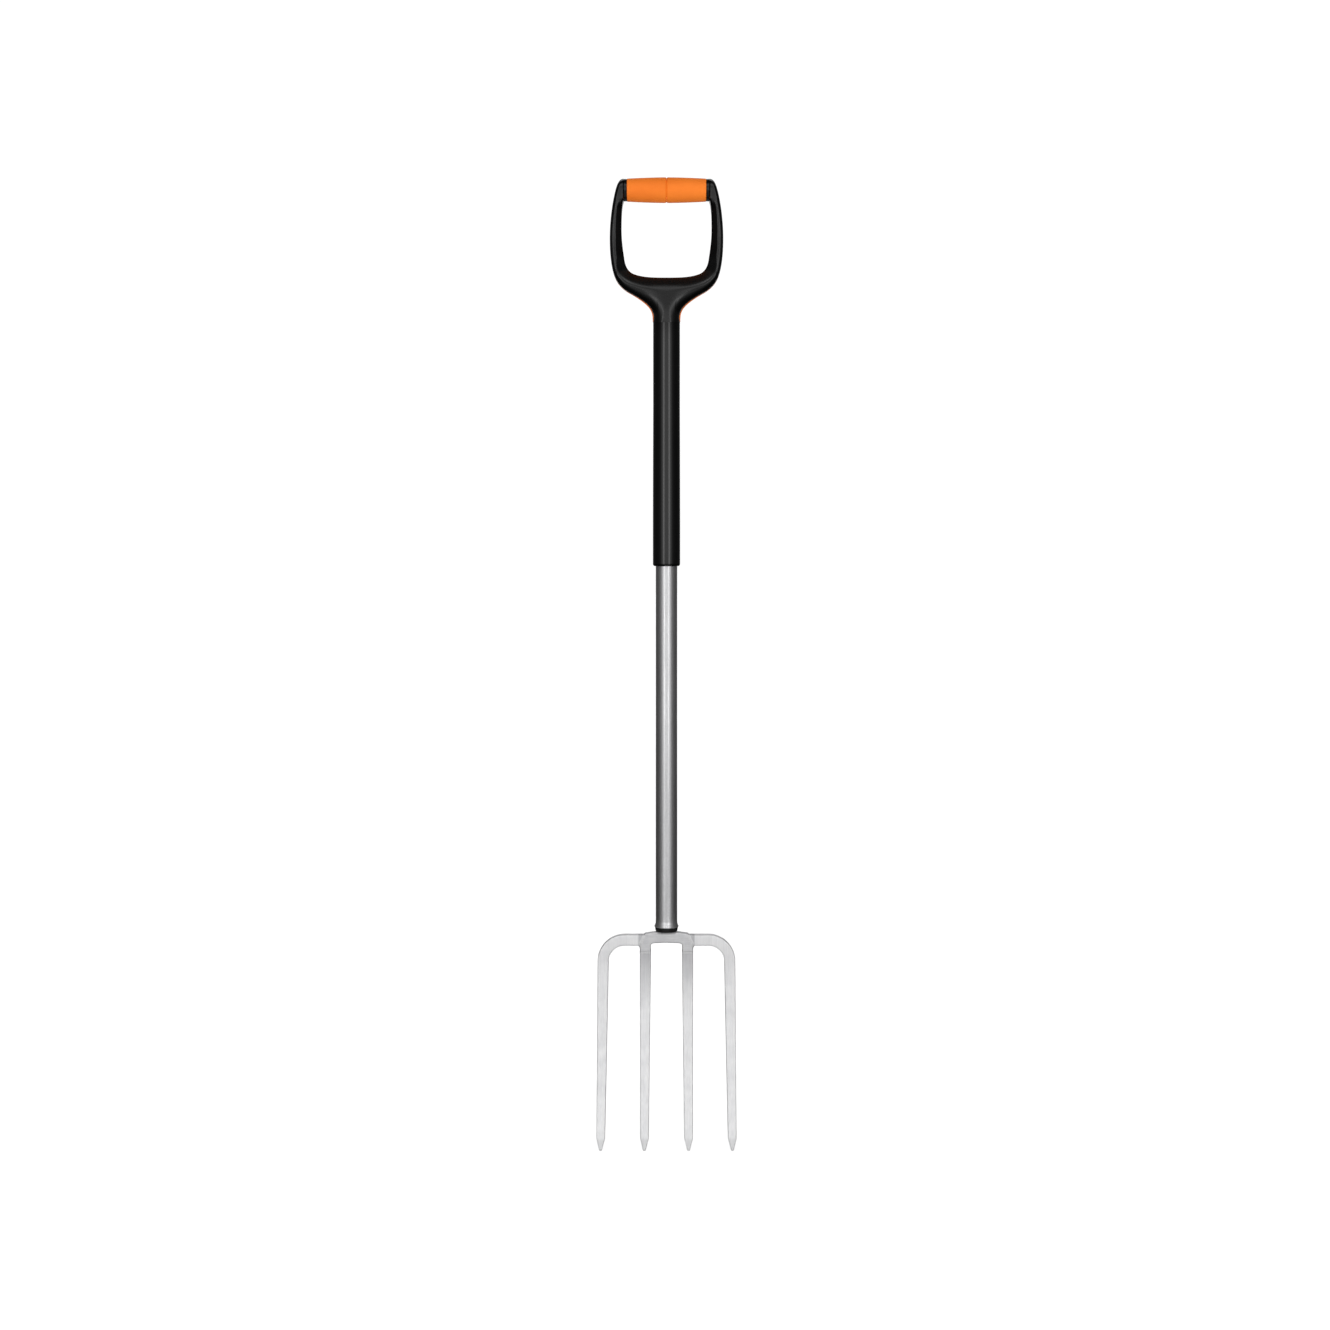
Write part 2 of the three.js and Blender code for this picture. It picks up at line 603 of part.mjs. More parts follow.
const gripAxisZ = SEAT_Z + GRIP_AXIS;
const socketEnd = CORE_END_X + GAP;
const socket = solidOf(rodAlongY(-socketEnd, socketEnd, CORE_R + GAP).rotateZ(Math.PI / 2)
  .translate(0, 0, gripAxisZ));
const spigotLow = SEAT_Z - SPIGOT_LENGTH;
const spigot = turned([[0, spigotLow], [SPIGOT_R - 1.5, spigotLow], [SPIGOT_R, spigotLow + 2],
  [SPIGOT_R, SEAT_Z + 1], [0, SEAT_Z + 1]]);
let frame = body.subtract(padSpace(GAP).subtract(core)).subtract(socket).add(spigot);
for (const drop of SCREW_DROPS) frame = frame.subtract(screwBore(drop, SCREW_SHANK_R + GAP, 1, 20));
add('handle_frame', frame, BLACK);
add('yoke_back_pad', body.intersect(padSpace(0)).subtract(coreRoom), ORANGE);

// ---------- grip ----------

const onGripAxis = (solid) => solid.rotate([0, 90, 0]).translate([0, 0, gripAxisZ]);

const flangeOut = ARM_FACE_X - GAP;
add('grip_crossbar', onGripAxis(turned([[0, -CORE_END_X], [CORE_R, -CORE_END_X],
  [CORE_R, -flangeOut], [FLANGE_R, -flangeOut], [FLANGE_R, -FLANGE_X], [CORE_R, -FLANGE_X],
  [CORE_R, FLANGE_X], [FLANGE_R, FLANGE_X], [FLANGE_R, flangeOut], [CORE_R, flangeOut],
  [CORE_R, CORE_END_X], [0, CORE_END_X]], 36)), BLACK);

function gripSleeve(side) {
  const bore = CORE_R + GAP;
  const inner = GAP / 2;
  const outer = FLANGE_X - GAP;
  const barrel = (x) => mix(GRIP_MID_R, GRIP_END_R, (x / outer) ** 1.7);
  const profile = [[bore, inner], [GRIP_MID_R - GROOVE_DEPTH, inner],
    [GRIP_MID_R - GROOVE_DEPTH, GROOVE_X - 0.4], [GRIP_MID_R - 0.1, GROOVE_X]];
  for (const x of [3, 12, 21, 30, 38, 44]) profile.push([barrel(x), x]);
  profile.push([GRIP_END_R - 0.3, outer], [bore, outer], [bore, inner]);
  return turned(profile.map(([r, x]) => [r, side * x]), 36);
}

for (const [word, side] of SIDES) add(`grip_sleeve_${word}`, onGripAxis(gripSleeve(side)), ORANGE);

fork.position.z = -HANG_Z;

export default fork;
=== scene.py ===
import math

import bmesh
import bpy
import numpy as np
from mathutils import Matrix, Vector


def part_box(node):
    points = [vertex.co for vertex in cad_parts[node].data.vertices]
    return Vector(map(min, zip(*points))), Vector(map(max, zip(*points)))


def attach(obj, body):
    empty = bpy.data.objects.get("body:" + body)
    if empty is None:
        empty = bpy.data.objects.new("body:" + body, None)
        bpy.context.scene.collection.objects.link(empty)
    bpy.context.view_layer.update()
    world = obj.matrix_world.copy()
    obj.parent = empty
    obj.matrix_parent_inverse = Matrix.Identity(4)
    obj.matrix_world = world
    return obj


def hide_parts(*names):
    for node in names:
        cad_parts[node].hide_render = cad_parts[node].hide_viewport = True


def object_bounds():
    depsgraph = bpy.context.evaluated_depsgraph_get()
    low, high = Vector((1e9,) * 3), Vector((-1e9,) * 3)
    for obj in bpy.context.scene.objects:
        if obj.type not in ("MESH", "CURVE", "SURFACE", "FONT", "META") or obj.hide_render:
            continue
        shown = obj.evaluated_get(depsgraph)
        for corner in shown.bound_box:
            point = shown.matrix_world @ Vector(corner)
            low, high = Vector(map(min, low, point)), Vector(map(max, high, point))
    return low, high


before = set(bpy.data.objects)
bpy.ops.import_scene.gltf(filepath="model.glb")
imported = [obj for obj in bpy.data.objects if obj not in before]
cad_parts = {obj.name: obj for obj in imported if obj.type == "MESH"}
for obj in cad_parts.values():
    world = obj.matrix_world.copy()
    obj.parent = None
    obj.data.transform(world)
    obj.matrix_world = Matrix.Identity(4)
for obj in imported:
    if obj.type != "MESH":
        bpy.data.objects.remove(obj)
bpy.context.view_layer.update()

# A digging fork: four flat tines on a forged bridge, a tube shaft with a black
# sleeve and a D-handle with a soft orange grip. The object's frame has its origin
# under the grip, +Z up the shaft, the front facing -Y. Shapes are drawn in
# millimetres in that frame and scaled to metres when they become meshes.

MM = 0.001
GAP = 0.3  # room between two CAD pieces that touch
rng = np.random.default_rng(7)


def low(node):
    return np.array(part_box(node)[0]) / MM


def high(node):
    return np.array(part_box(node)[1]) / MM


# ---------- places and sizes read from the frame ----------

TIP_Z = low("inner_tine_left")[2]
BAR_TOP_Z = high("outer_tine_right")[2]
BRIDGE_LOW_Z = low("head_bridge")[2]
BOSS_TOP_Z = low("neck_ring")[2] - GAP
SEAT_Z = high("shaft_sleeve")[2] + GAP
ARM_TOP = high("handle_frame")[2] - SEAT_Z
GRIP_Z = (low("grip_crossbar")[2] + high("grip_crossbar")[2]) / 2
GRIP_AXIS = GRIP_Z - SEAT_Z
TINE_BOW = -low("inner_tine_left")[1] - 1.4  # less half the thickness near the tip
TUBE_R = 13.0
FLARE_R = high("shaft_tube")[0]
SLEEVE_R = 16.4
NECK_R = 16.0
HANDLE_HALF = high("handle_frame")[0]


# ---------- curves ----------

FILLET_STEPS = 6


def bezier(*points, count=24):
    """Points along a Bezier curve, both ends included."""
    t = np.linspace(0, 1, count)[:, None]
    n = len(points) - 1
    weights = [math.comb(n, k) * (1 - t) ** (n - k) * t ** k for k in range(n + 1)]
    return sum(w * np.array(p, float) for w, p in zip(weights, points))


def joined(*pieces):
    """One polyline from pieces that each start where the last one ended."""
    return np.concatenate([pieces[0]] + [piece[1:] for piece in pieces[1:]])


def lengths_along(path):
    steps = np.linalg.norm(np.diff(path, axis=0), axis=1)
    return np.concatenate([[0], np.cumsum(steps)])


def at_lengths(path, places):
    """Points of a polyline at lengths along it."""
    along = lengths_along(path)
    return np.stack([np.interp(places, along, column) for column in path.T], axis=-1)


def at_shares(path, shares):
    return at_lengths(path, np.asarray(shares) * lengths_along(path)[-1])


def distance_to(path, points):
    """Distance from each point to the nearest place on a polyline."""
    flat = points.reshape(-1, 2)
    start, step = path[:-1], np.diff(path, axis=0)
    size = (step ** 2).sum(1)
    result = np.empty(len(flat))
    for first in range(0, len(flat), 4000):
        away = flat[first:first + 4000, None] - start
        t = np.clip((away * step).sum(-1) / size, 0, 1)
        result[first:first + 4000] = np.linalg.norm(away - t[..., None] * step, axis=-1).min(1)
    return result.reshape(points.shape[:-1])


def smooth(start, end, value):
    t = np.clip((value - start) / (end - start), 0, 1)
    return t * t * (3 - 2 * t)


def mix(a, b, t):
    return a + (b - a) * t


def eased(row, place):
    """Reads a row of (place, value) pairs with an eased step between neighbours."""
    result = np.full(np.shape(place), float(row[0][1]))
    for (a, from_value), (b, to_value) in zip(row, row[1:]):
        result = result + (to_value - from_value) * smooth(a, b, place)
    return result


def filleted(corners, closed=True):
    """A polyline through corners (across, along, reach), each one rounded off over its reach."""
    result = []
    count = len(corners)
    for i, (across, along, reach) in enumerate(corners):
        here = np.array((across, along), float)
        at_end = not closed and i in (0, count - 1)
        if reach == 0 or at_end:
            result.append(here)
            continue
        before = np.array(corners[i - 1][:2]) - here
        after = np.array(corners[(i + 1) % count][:2]) - here
        back = before * min(reach / np.linalg.norm(before), 0.49)
        onward = after * min(reach / np.linalg.norm(after), 0.49)
        result.extend(bezier(here + back, here, here + onward, count=FILLET_STEPS))
    return np.array(result)


# ---------- meshes ----------

def skin(rings, loop=False):
    """Points and faces over rings of points. The rows join up in a loop, or both ends get a cap."""
    rings = np.asarray(rings, float)
    rows, sides = rings.shape[:2]
    number = np.arange(rows * sides).reshape(rows, sides)
    ahead = np.roll(number, -1, axis=1)
    if loop:
        this, that = number, np.roll(number, -1, axis=0)
        ahead_this, ahead_that = ahead, np.roll(ahead, -1, axis=0)
    else:
        this, that = number[:-1], number[1:]
        ahead_this, ahead_that = ahead[:-1], ahead[1:]
    quads = np.stack([this, ahead_this, ahead_that, that], axis=-1).reshape(-1, 4)
    faces = quads.tolist()
    if not loop:
        faces.append(number[0, ::-1].tolist())
        faces.append(number[-1].tolist())
    return rings.reshape(-1, 3), faces


def mesh_of(name, points, faces):
    mesh = bpy.data.meshes.new(name)
    mesh.from_pydata((np.asarray(points) * MM).tolist(), [], faces)
    shape = bmesh.new()
    shape.from_mesh(mesh)
    bmesh.ops.remove_doubles(shape, verts=shape.verts, dist=0.005 * MM)
    bmesh.ops.recalc_face_normals(shape, faces=shape.faces)
    shape.to_mesh(mesh)
    shape.free()
    return mesh


def add_piece(name, mesh, material, stands_for, crease=40):
    piece = bpy.data.objects.new(name, mesh)
    bpy.context.scene.collection.objects.link(piece)
    mesh.materials.clear()
    mesh.materials.append(material)
    mesh.shade_smooth()
    mesh.set_sharp_from_angle(angle=math.radians(crease))
    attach(piece, "root")
    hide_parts(*stands_for)
    return piece


def turned(profile, steps=144, axis="z", centre=(0, 0, 0), loop=True):
    """A body turned from (radius, place) points about an axis through the centre."""
    profile = np.asarray(profile, float)
    angle = np.arange(steps) * 2 * math.pi / steps
    radius, place = profile[:, :1], profile[:, 1:]
    one, two = radius * np.cos(angle), radius * np.sin(angle)
    along = np.broadcast_to(place, one.shape)
    order = {"z": (one, two, along), "x": (along, one, two), "y": (one, along, two)}[axis]
    return skin(np.stack(order, axis=-1) + np.array(centre, float), loop)


def modified(mesh, name, kind, **settings):
    """A new mesh: the old one with one modifier applied."""
    carrier = bpy.data.objects.new(name, mesh)
    bpy.context.scene.collection.objects.link(carrier)
    modifier = carrier.modifiers.new(kind, kind)
    for key, value in settings.items():
        setattr(modifier, key, value)
    graph = bpy.context.evaluated_depsgraph_get()
    result = bpy.data.meshes.new_from_object(carrier.evaluated_get(graph))
    result.name = name
    bpy.data.objects.remove(carrier)
    return result


# ---------- materials ----------

STREAK_SCALE = 900  # of the grinding marks
GRAIN_SCALE = 2500
CLOUD_SCALE = 35  # of the faint unevenness of plastic
PAINTED_SHADE_REACH = 70.0  # how far below the weld the painted shade reaches, making the steel greyer there
PAINTED_SHADE_HALF = 34.0  # and how far from the middle
PAINTED_SHADE_EDGE = 1.0
LACQUER_ROUGH = 0.09
LACQUER_IOR = 1.9
LENGTHWISE = (1, 1, 0.03)
CROSSWISE = (0.05, 1, 1)
ALL_WAYS = (1, 1, 1)


def maths(nodes, links, kind, *values):
    """A maths node whose inputs are numbers or the outputs of other nodes."""
    node = nodes.new("ShaderNodeMath")
    node.operation = kind
    for socket, value in zip(node.inputs, values):
        if isinstance(value, (int, float)):
            socket.default_value = value
        else:
            links.new(value, socket)
    return node.outputs["Value"]


class Shader:
    """A Principled material built up from small node steps."""

    def __init__(self, name):
        self.material = bpy.data.materials.new(name)
        self.material.use_nodes = True
        self.nodes = self.material.node_tree.nodes
        self.links = self.material.node_tree.links
        self.surface = self.nodes["Principled BSDF"]
        self.place = self.nodes.new("ShaderNodeTexCoord").outputs["Object"]

    def set(self, **values):
        for name, value in values.items():
            self.surface.inputs[name.replace("_", " ")].default_value = value

    def noise(self, scale, detail=2.0, stretch=(1, 1, 1)):
        mapping = self.nodes.new("ShaderNodeMapping")
        mapping.inputs["Scale"].default_value = stretch
        self.links.new(self.place, mapping.inputs["Vector"])
        noise = self.nodes.new("ShaderNodeTexNoise")
        noise.inputs["Scale"].default_value = scale
        noise.inputs["Detail"].default_value = detail
        self.links.new(mapping.outputs["Vector"], noise.inputs["Vector"])
        return noise.outputs["Fac"]

    def axis(self, letter):
        """How far along one axis of the frame, in metres."""
        split = self.nodes.new("ShaderNodeSeparateXYZ")
        self.links.new(self.place, split.inputs["Vector"])
        return split.outputs[letter]

    def maths(self, kind, *values):
        return maths(self.nodes, self.links, kind, *values)

    def ramp(self, value, low, high, start=0.3, end=0.7):
        """The value, spread from start..end to low..high."""
        spread = self.nodes.new("ShaderNodeMapRange")
        spread.inputs["From Min"].default_value = start
        spread.inputs["From Max"].default_value = end
        spread.inputs["To Min"].default_value = low
        spread.inputs["To Max"].default_value = high
        self.links.new(value, spread.inputs["Value"])
        return spread.outputs["Result"]

    def colour(self, value, one, two, start=0.3, end=0.7):
        ramp = self.nodes.new("ShaderNodeValToRGB")
        ramp.color_ramp.elements[0].position = start
        ramp.color_ramp.elements[0].color = (*one, 1)
        ramp.color_ramp.elements[1].position = end
        ramp.color_ramp.elements[1].color = (*two, 1)
        self.links.new(value, ramp.inputs["Fac"])
        return ramp.outputs["Color"]

    def tinted(self, one, two):
        """One colour times another."""
        node = self.nodes.new("ShaderNodeMix")
        node.data_type = "RGBA"
        node.blend_type = "MULTIPLY"
        node.inputs["Factor"].default_value = 1.0
        self.links.new(one, node.inputs["A"])
        self.links.new(two, node.inputs["B"])
        return node.outputs["Result"]

    def bump(self, *layers):
        """Layers of (height, strength, depth in millimetres), one over the other."""
        below = None
        for height, strength, depth in layers:
            node = self.nodes.new("ShaderNodeBump")
            node.inputs["Strength"].default_value = strength
            node.inputs["Distance"].default_value = depth * MM
            self.links.new(height, node.inputs["Height"])
            if below:
                self.links.new(below, node.inputs["Normal"])
            below = node.outputs["Normal"]
        self.links.new(below, self.surface.inputs["Normal"])

    def link(self, value, socket):
        self.links.new(value, self.surface.inputs[socket])


def steel(name, dark, light, rough, flow, mottle=60, pits=0.05, coat=0.0, metal=1.0, painted_shade=None):
    """Ground steel. `flow` stretches the grinding marks along one direction, `mottle` is the scale
    of its clouds, `pits` the depth of its grain and `coat` is clear lacquer. `painted_shade` is
    (height, shade): painted shade, the steel is greyer close below the weld at that height, between the
    outer bars."""
    shader = Shader(name)
    streaks = shader.noise(STREAK_SCALE, 4, flow)
    cloud = shader.noise(mottle, 3)
    tone = shader.colour(streaks, dark, light, 0.25, 0.75)
    shade = shader.colour(cloud, (0.93, 0.93, 0.935), (1, 1, 1), 0.35, 0.65)
    tone = shader.tinted(tone, shade)
    if painted_shade:
        # Painted shade: the steel is darkened close below the given height, between the outer bars, under
        # the bridge.
        height, darker = painted_shade
        near = shader.ramp(shader.axis("Z"), 0, 1, (height - PAINTED_SHADE_REACH) * MM, height * MM)
        aside = shader.maths("ABSOLUTE", shader.axis("X"))
        inside = shader.ramp(aside, 1, 0, (PAINTED_SHADE_HALF - PAINTED_SHADE_EDGE) * MM, (PAINTED_SHADE_HALF + PAINTED_SHADE_EDGE) * MM)
        tint = shader.colour(shader.maths("MULTIPLY", near, inside), (1, 1, 1), darker, 0, 1)
        tone = shader.tinted(tone, tint)
    shader.link(tone, "Base Color")
    shader.set(Metallic=metal, Coat_Weight=coat, Coat_Roughness=LACQUER_ROUGH, Coat_IOR=LACQUER_IOR)
    shader.link(shader.ramp(streaks, rough + 0.07, rough - 0.05), "Roughness")
    grain = shader.noise(GRAIN_SCALE, 3)
    shader.bump((streaks, 0.35, 0.03), (grain, 0.3, pits))
    return shader.material


def plastic(name, colour, lift, rough, grain_scale, grain_depth, level):
    """Moulded plastic or soft rubber with a fine eroded grain. `level` is its specular level."""
    shader = Shader(name)
    cloud = shader.noise(CLOUD_SCALE, 2)
    grain = shader.noise(grain_scale, 3)
    shader.link(shader.colour(cloud, colour, lift, 0.3, 0.7), "Base Color")
    shader.link(shader.ramp(grain, rough - 0.04, rough + 0.06), "Roughness")
    shader.set(Specular_IOR_Level=level)
    shader.bump((cloud, 0.1, 0.2), (grain, 0.35, grain_depth))
    return shader.material


def grey(level, blue=0.0):
    """A grey colour, with a touch more blue."""
    return (level, level, level + blue)


forged_steel = steel("forged_steel", grey(0.66, 0.01), grey(0.75, 0.01), 0.5, CROSSWISE,
                     mottle=120, pits=0.1, metal=0.92)
# The tine steel carries painted shade just below the bridge, between the outer bars.
tine_steel = steel("tine_steel", grey(0.82, 0.005), grey(0.90, 0.005), 0.5, LENGTHWISE,
                   metal=0.78, painted_shade=(BRIDGE_LOW_Z, grey(0.66, 0.01)))
weld_steel = steel("weld_steel", grey(0.68), grey(0.78, 0.01), 0.5, ALL_WAYS,
                   mottle=150, pits=0.1, metal=0.9)
tube_steel = steel("tube_steel", grey(0.66, 0.01), grey(0.70, 0.01), 0.47, LENGTHWISE,
                   mottle=400, pits=0.01, coat=1.0)
screw_steel = steel("screw_steel", grey(0.16, 0.01), grey(0.24, 0.01), 0.35, ALL_WAYS,
                    mottle=300, pits=0.02)
seal_rubber = plastic("seal_rubber", grey(0.004), grey(0.007), 0.5, 2200, 0.04, 0.3)
sleeve_plastic = plastic("sleeve_plastic", grey(0.001), grey(0.002), 0.13, 3000, 0.004, 0.44)
handle_plastic = plastic("handle_plastic", grey(0.001), grey(0.0025), 0.25, 2400, 0.02, 0.44)
soft_orange = plastic("soft_orange", (0.85, 0.182, 0.008), (0.91, 0.212, 0.012), 0.6, 1800, 0.05, 0.3)

# ---------- tines ----------

POINT = 14.5  # length of the ground point
TAPER_TOP = 214.5  # above this the tines keep their width
TINE_WIDTHS = [(0, 2.4), (1.0, 3.4), (POINT, 10.3), (TAPER_TOP, 13.1)]
TINE_THICKS = [(0, 2.0), (1.0, 3.0), (POINT, 6.5), (TAPER_TOP, 9.0)]
BAR_HEIGHT = 13.3
BAR_THICK = 10.0
BEND_R = 26.2
BEND_X = 50.4
BEND_STEPS = 30
OUTER_TIP_X = 79.4
INNER_ROOT_X = 25.5
INNER_TIP_X = 26.6
BAR_MID_Z = BAR_TOP_Z - BAR_HEIGHT / 2
BAR_LOW_Z = BAR_TOP_Z - BAR_HEIGHT
BEND_Z = BAR_MID_Z - BEND_R
SEAM_LOW_X = 32.4
SEAM_LEAN = 0.44
EDGE_R = 1.0
TIP_EDGE_R = 0.8
BOW_POWER = 1.6
EDGE_TURNS = 5  # points round one rounded edge of a bar
EDGE_FLATS = 5  # points between two rounded edges
HAMMER_WAVES = (11, 19, 37, 71)
HAMMER_DEPTH = 0.035


def bow(z):
    return -TINE_BOW * np.clip((BEND_Z - z) / (BEND_Z - TIP_Z), 0, 1) ** BOW_POWER


def reading(table, place):
    places, values = zip(*table)
    return np.interp(place, places, values)


def section(width, thick, radius):
    """Rounded rectangle as points (across, deep), going round once."""
    round_r = min(radius, width * 0.47, thick * 0.47)
    w, t = width / 2 - round_r, thick / 2 - round_r
    corners = [(1, 1), (-1, 1), (-1, -1), (1, -1)]

    def on_corner(corner, quarters):
        angle = quarters * math.pi / 2
        a, b = corners[corner % 4]
        return np.array((a * w + math.cos(angle) * round_r, b * t + math.sin(angle) * round_r))

    points = []
    for quarter in range(4):
        points.extend(on_corner(quarter, quarter + part) for part in np.linspace(0, 1, EDGE_TURNS))
        start, end = points[-1], on_corner(quarter + 1, quarter + 1)
        shares = np.linspace(0, 1, EDGE_FLATS + 2)[1:-1]
        points.extend(mix(start, end, share) for share in shares)
    return np.array(points)


def unevenness(along, deep):
    """Small hollows and swells left by the hammer and the grinder, in millimetres."""
    total = np.zeros(np.shape(along))
    for wave in HAMMER_WAVES:
        phase = rng.uniform(0, 2 * math.pi, 2)
        total = total + np.sin(along / wave * 2 * math.pi + phase[0]) * np.cos(deep * 0.35 + phase[1])
    return total * HAMMER_DEPTH


def tine_ring(shape, x, z, across=(1, 0)):
    """A section placed on the bowed tine. `across` is the direction of its width in X and Z."""
    return np.stack([x + across[0] * shape[:, 0], bow(z) + shape[:, 1], z + across[1] * shape[:, 0]],
                    axis=-1)


def level_ring(shape, x, z):
    """A section placed level, where there is no bow."""
    return np.stack([x + shape[:, 0], shape[:, 1], np.full(len(shape), z)], axis=-1)


def blade_ring(x, z):
    height = z - TIP_Z
    width, thick = reading(TINE_WIDTHS, height), reading(TINE_THICKS, height)
    radius = mix(TIP_EDGE_R, EDGE_R, min(1, height / 14))
    return tine_ring(section(width, thick, radius), x, z)


def blade_heights(top):
    point = TIP_Z + POINT * np.linspace(0, 1, 14) ** 1.3
    shank = np.linspace(TIP_Z + POINT, top, 110)
    return np.concatenate([shank[::-1], point[-2::-1]])


def straight_blade(root_x, tip_x, top):
    rings = []
    for z in blade_heights(top):
        share = (z - TIP_Z) / (top - TIP_Z)
        rings.append(blade_ring(mix(tip_x, root_x, share), z))
    return rings


def seam_x(z):
    return SEAM_LOW_X - SEAM_LEAN * (z - BAR_LOW_Z)


def seam_ring(shift, grow=0.0):
    """A ring round the shoulder bar, leaned to lie along the slanted seam."""
    shape = section(BAR_HEIGHT + 2 * grow, BAR_THICK + 2 * grow, EDGE_R + grow)
    z = BAR_MID_Z + shape[:, 0]
    return np.stack([seam_x(z) + shift, shape[:, 1], z], axis=-1)


def outer_rings():
    """Rings of the right outer tine, from the seam round the bend to the tip."""
    rings = [seam_ring(shift) for shift in (0.1, 1.6, 3.1)]
    square = section(BAR_HEIGHT, BAR_THICK, EDGE_R)
    for x in np.linspace(SEAM_LOW_X + 8, BEND_X, 10)[:-1]:
        rings.append(tine_ring(square, x, BAR_MID_Z, (0, 1)))
    lean = math.atan2(OUTER_TIP_X - BEND_X - BEND_R, BEND_Z - TIP_Z)
    for step in range(BEND_STEPS + 1):
        t = step / BEND_STEPS
        angle = t * (math.pi / 2 - lean)
        across = (math.sin(angle), math.cos(angle))
        x, z = BEND_X + BEND_R * across[0], BEND_Z + BEND_R * across[1]
        height = z - TIP_Z
        width = mix(BAR_HEIGHT, reading(TINE_WIDTHS, height), t)
        thick = mix(BAR_THICK, reading(TINE_THICKS, height), t)
        rings.append(tine_ring(section(width, thick, EDGE_R), x, z, across))
    root_x = BEND_X + BEND_R * math.cos(lean)
    return rings + straight_blade(root_x, OUTER_TIP_X, BEND_Z - 2)


def inner_rings():
    return straight_blade(INNER_ROOT_X, INNER_TIP_X, BRIDGE_LOW_Z - 0.1)


def roughened(rings):
    """Rings pushed out and in a little, as a forged and ground bar is."""
    rings = np.array(rings)
    centre = rings.mean(axis=1, keepdims=True)
    away = rings - centre
    size = np.linalg.norm(away, axis=-1, keepdims=True)
    along = lengths_along(centre[:, 0])
    push = unevenness(along[:, None], away[..., 0] + away[..., 1])
    return rings + away / np.maximum(size, 0.5) * push[..., None]


SIDES = (("left", -1), ("right", 1))

for word, side in SIDES:
    flip = np.array((side, 1, 1))
    for node, rings in ((f"outer_tine_{word}", outer_rings()), (f"inner_tine_{word}", inner_rings())):
        tine = mesh_of(node, *skin(roughened(rings) * flip))
        add_piece(f"forged_{node}", tine, tine_steel, [node])

# ---------- welds ----------

BEAD_HALF = 2.6
BEAD_RISE = 0.2
BEAD_SINK = 0.08  # at its ends the bead lies this much inside its neighbours
BEAD_RIPPLE = 0.06


def bead_rings(ring_at):
    """Rings over a weld bead: raised in the middle, rippled, ending inside its neighbours."""
    rings = []
    for place in np.linspace(-1, 1, 13):
        swell = 1 - place ** 2
        ring = ring_at(place * BEAD_HALF, BEAD_RISE * swell - BEAD_SINK)
        ripple = BEAD_RIPPLE * np.sin(np.arange(len(ring)) * 1.9 + place * 2.5)
        centre = ring.mean(axis=0)
        away = ring - centre
        away /= np.linalg.norm(away, axis=1, keepdims=True)
        rings.append(ring + away * (ripple * swell)[:, None])
    return rings


def root_ring(shift, grow):
    """A level ring round the root of an inner tine."""
    z = BRIDGE_LOW_Z - shift
    height = z - TIP_Z
    width, thick = reading(TINE_WIDTHS, height), reading(TINE_THICKS, height)
    return level_ring(section(width + 2 * grow, thick + 2 * grow, EDGE_R), INNER_ROOT_X, z)


for word, side in SIDES:
    flip = np.array((side, 1, 1))
    for kind, ring_at in (("outer", seam_ring), ("inner", root_ring)):
        node = f"weld_{kind}_{word}"
        bead = mesh_of(node, *skin(np.array(bead_rings(ring_at)) * flip))
        add_piece(f"ground_{node}", bead, weld_steel, [node])

# ---------- bridge ----------

BRIDGE_TOP_Z = BOSS_TOP_Z - 0.4
BRIDGE_OVER = 0.3  # the bridge runs this far into the seam
ARCH_Z = BRIDGE_TOP_Z - 13.1
BOSS_LOW_Z = BOSS_TOP_Z - 1.5
BOSS_R = 12.9
BOSS_SIDES = 96
TANG_R = 11.2
STUB_HALF = 6.55
STUB_IN = INNER_ROOT_X - STUB_HALF
STUB_OUT = INNER_ROOT_X + STUB_HALF
ARCH_R = 5.5
SEAM_STEP = 1.3  # the bridge stands this much above the outer bars beside it
VOXEL = 0.5


def bridge_top(x):
    return BRIDGE_TOP_Z - (BRIDGE_TOP_Z - BAR_TOP_Z - SEAM_STEP) * smooth(12, 34, x)


def bridge_under(x):
    """The underside: a shallow arch between the stubs, and the bar's level outside them."""
    if x > STUB_IN:
        return np.interp(x, (STUB_OUT, seam_x(BAR_LOW_Z)), (BAR_LOW_Z - 2.0, BAR_LOW_Z - 0.2))
    past = max(0.0, x - STUB_IN + ARCH_R)
    return ARCH_Z - 0.6 * x / STUB_IN - ARCH_R + math.sqrt(ARCH_R ** 2 - past ** 2)


def bridge_points():
    """Sections across the bridge, upright in the middle and leaning with the seams at its ends."""
    rings = []
    for share in np.linspace(-1, 1, 161):
        x = abs(share) * (seam_x((BAR_TOP_Z + BAR_LOW_Z) / 2) + BRIDGE_OVER)
        top, under = bridge_top(x), bridge_under(x)
        shape = section(top - under, BAR_THICK, EDGE_R)
        z = (top + under) / 2 + shape[:, 0]
        rings.append(np.stack([share * (seam_x(z) + BRIDGE_OVER), shape[:, 1], z], axis=-1))
    return skin(rings)


def stub_points(side):
    shape = section(2 * STUB_HALF, BAR_THICK, EDGE_R)
    heights = (BRIDGE_LOW_Z, BRIDGE_LOW_Z + 4, BAR_LOW_Z, ARCH_Z + 6)
    return skin([level_ring(shape, side * INNER_ROOT_X, z) for z in heights])


def boss_points():
    """The neck boss, which flares from the bar's thickness to a round seat under the ring."""
    rings = []
    angle = np.arange(BOSS_SIDES) * 2 * math.pi / BOSS_SIDES
    for t in np.linspace(0, 1, 16):
        deep = mix(BAR_THICK / 2 - 0.4, BOSS_R, t)
        shape = np.stack([np.cos(angle) * BOSS_R, np.sin(angle) * deep], axis=-1)
        rings.append(level_ring(shape, 0, mix(BOSS_LOW_Z, BOSS_TOP_Z, t)))
    return skin(rings)


def tang_points():
    top = BOSS_TOP_Z + 30
    foot = BRIDGE_TOP_Z - 1
    return turned([(0.01, foot), (TANG_R, foot), (TANG_R, top), (0.01, top)], 48, loop=False)


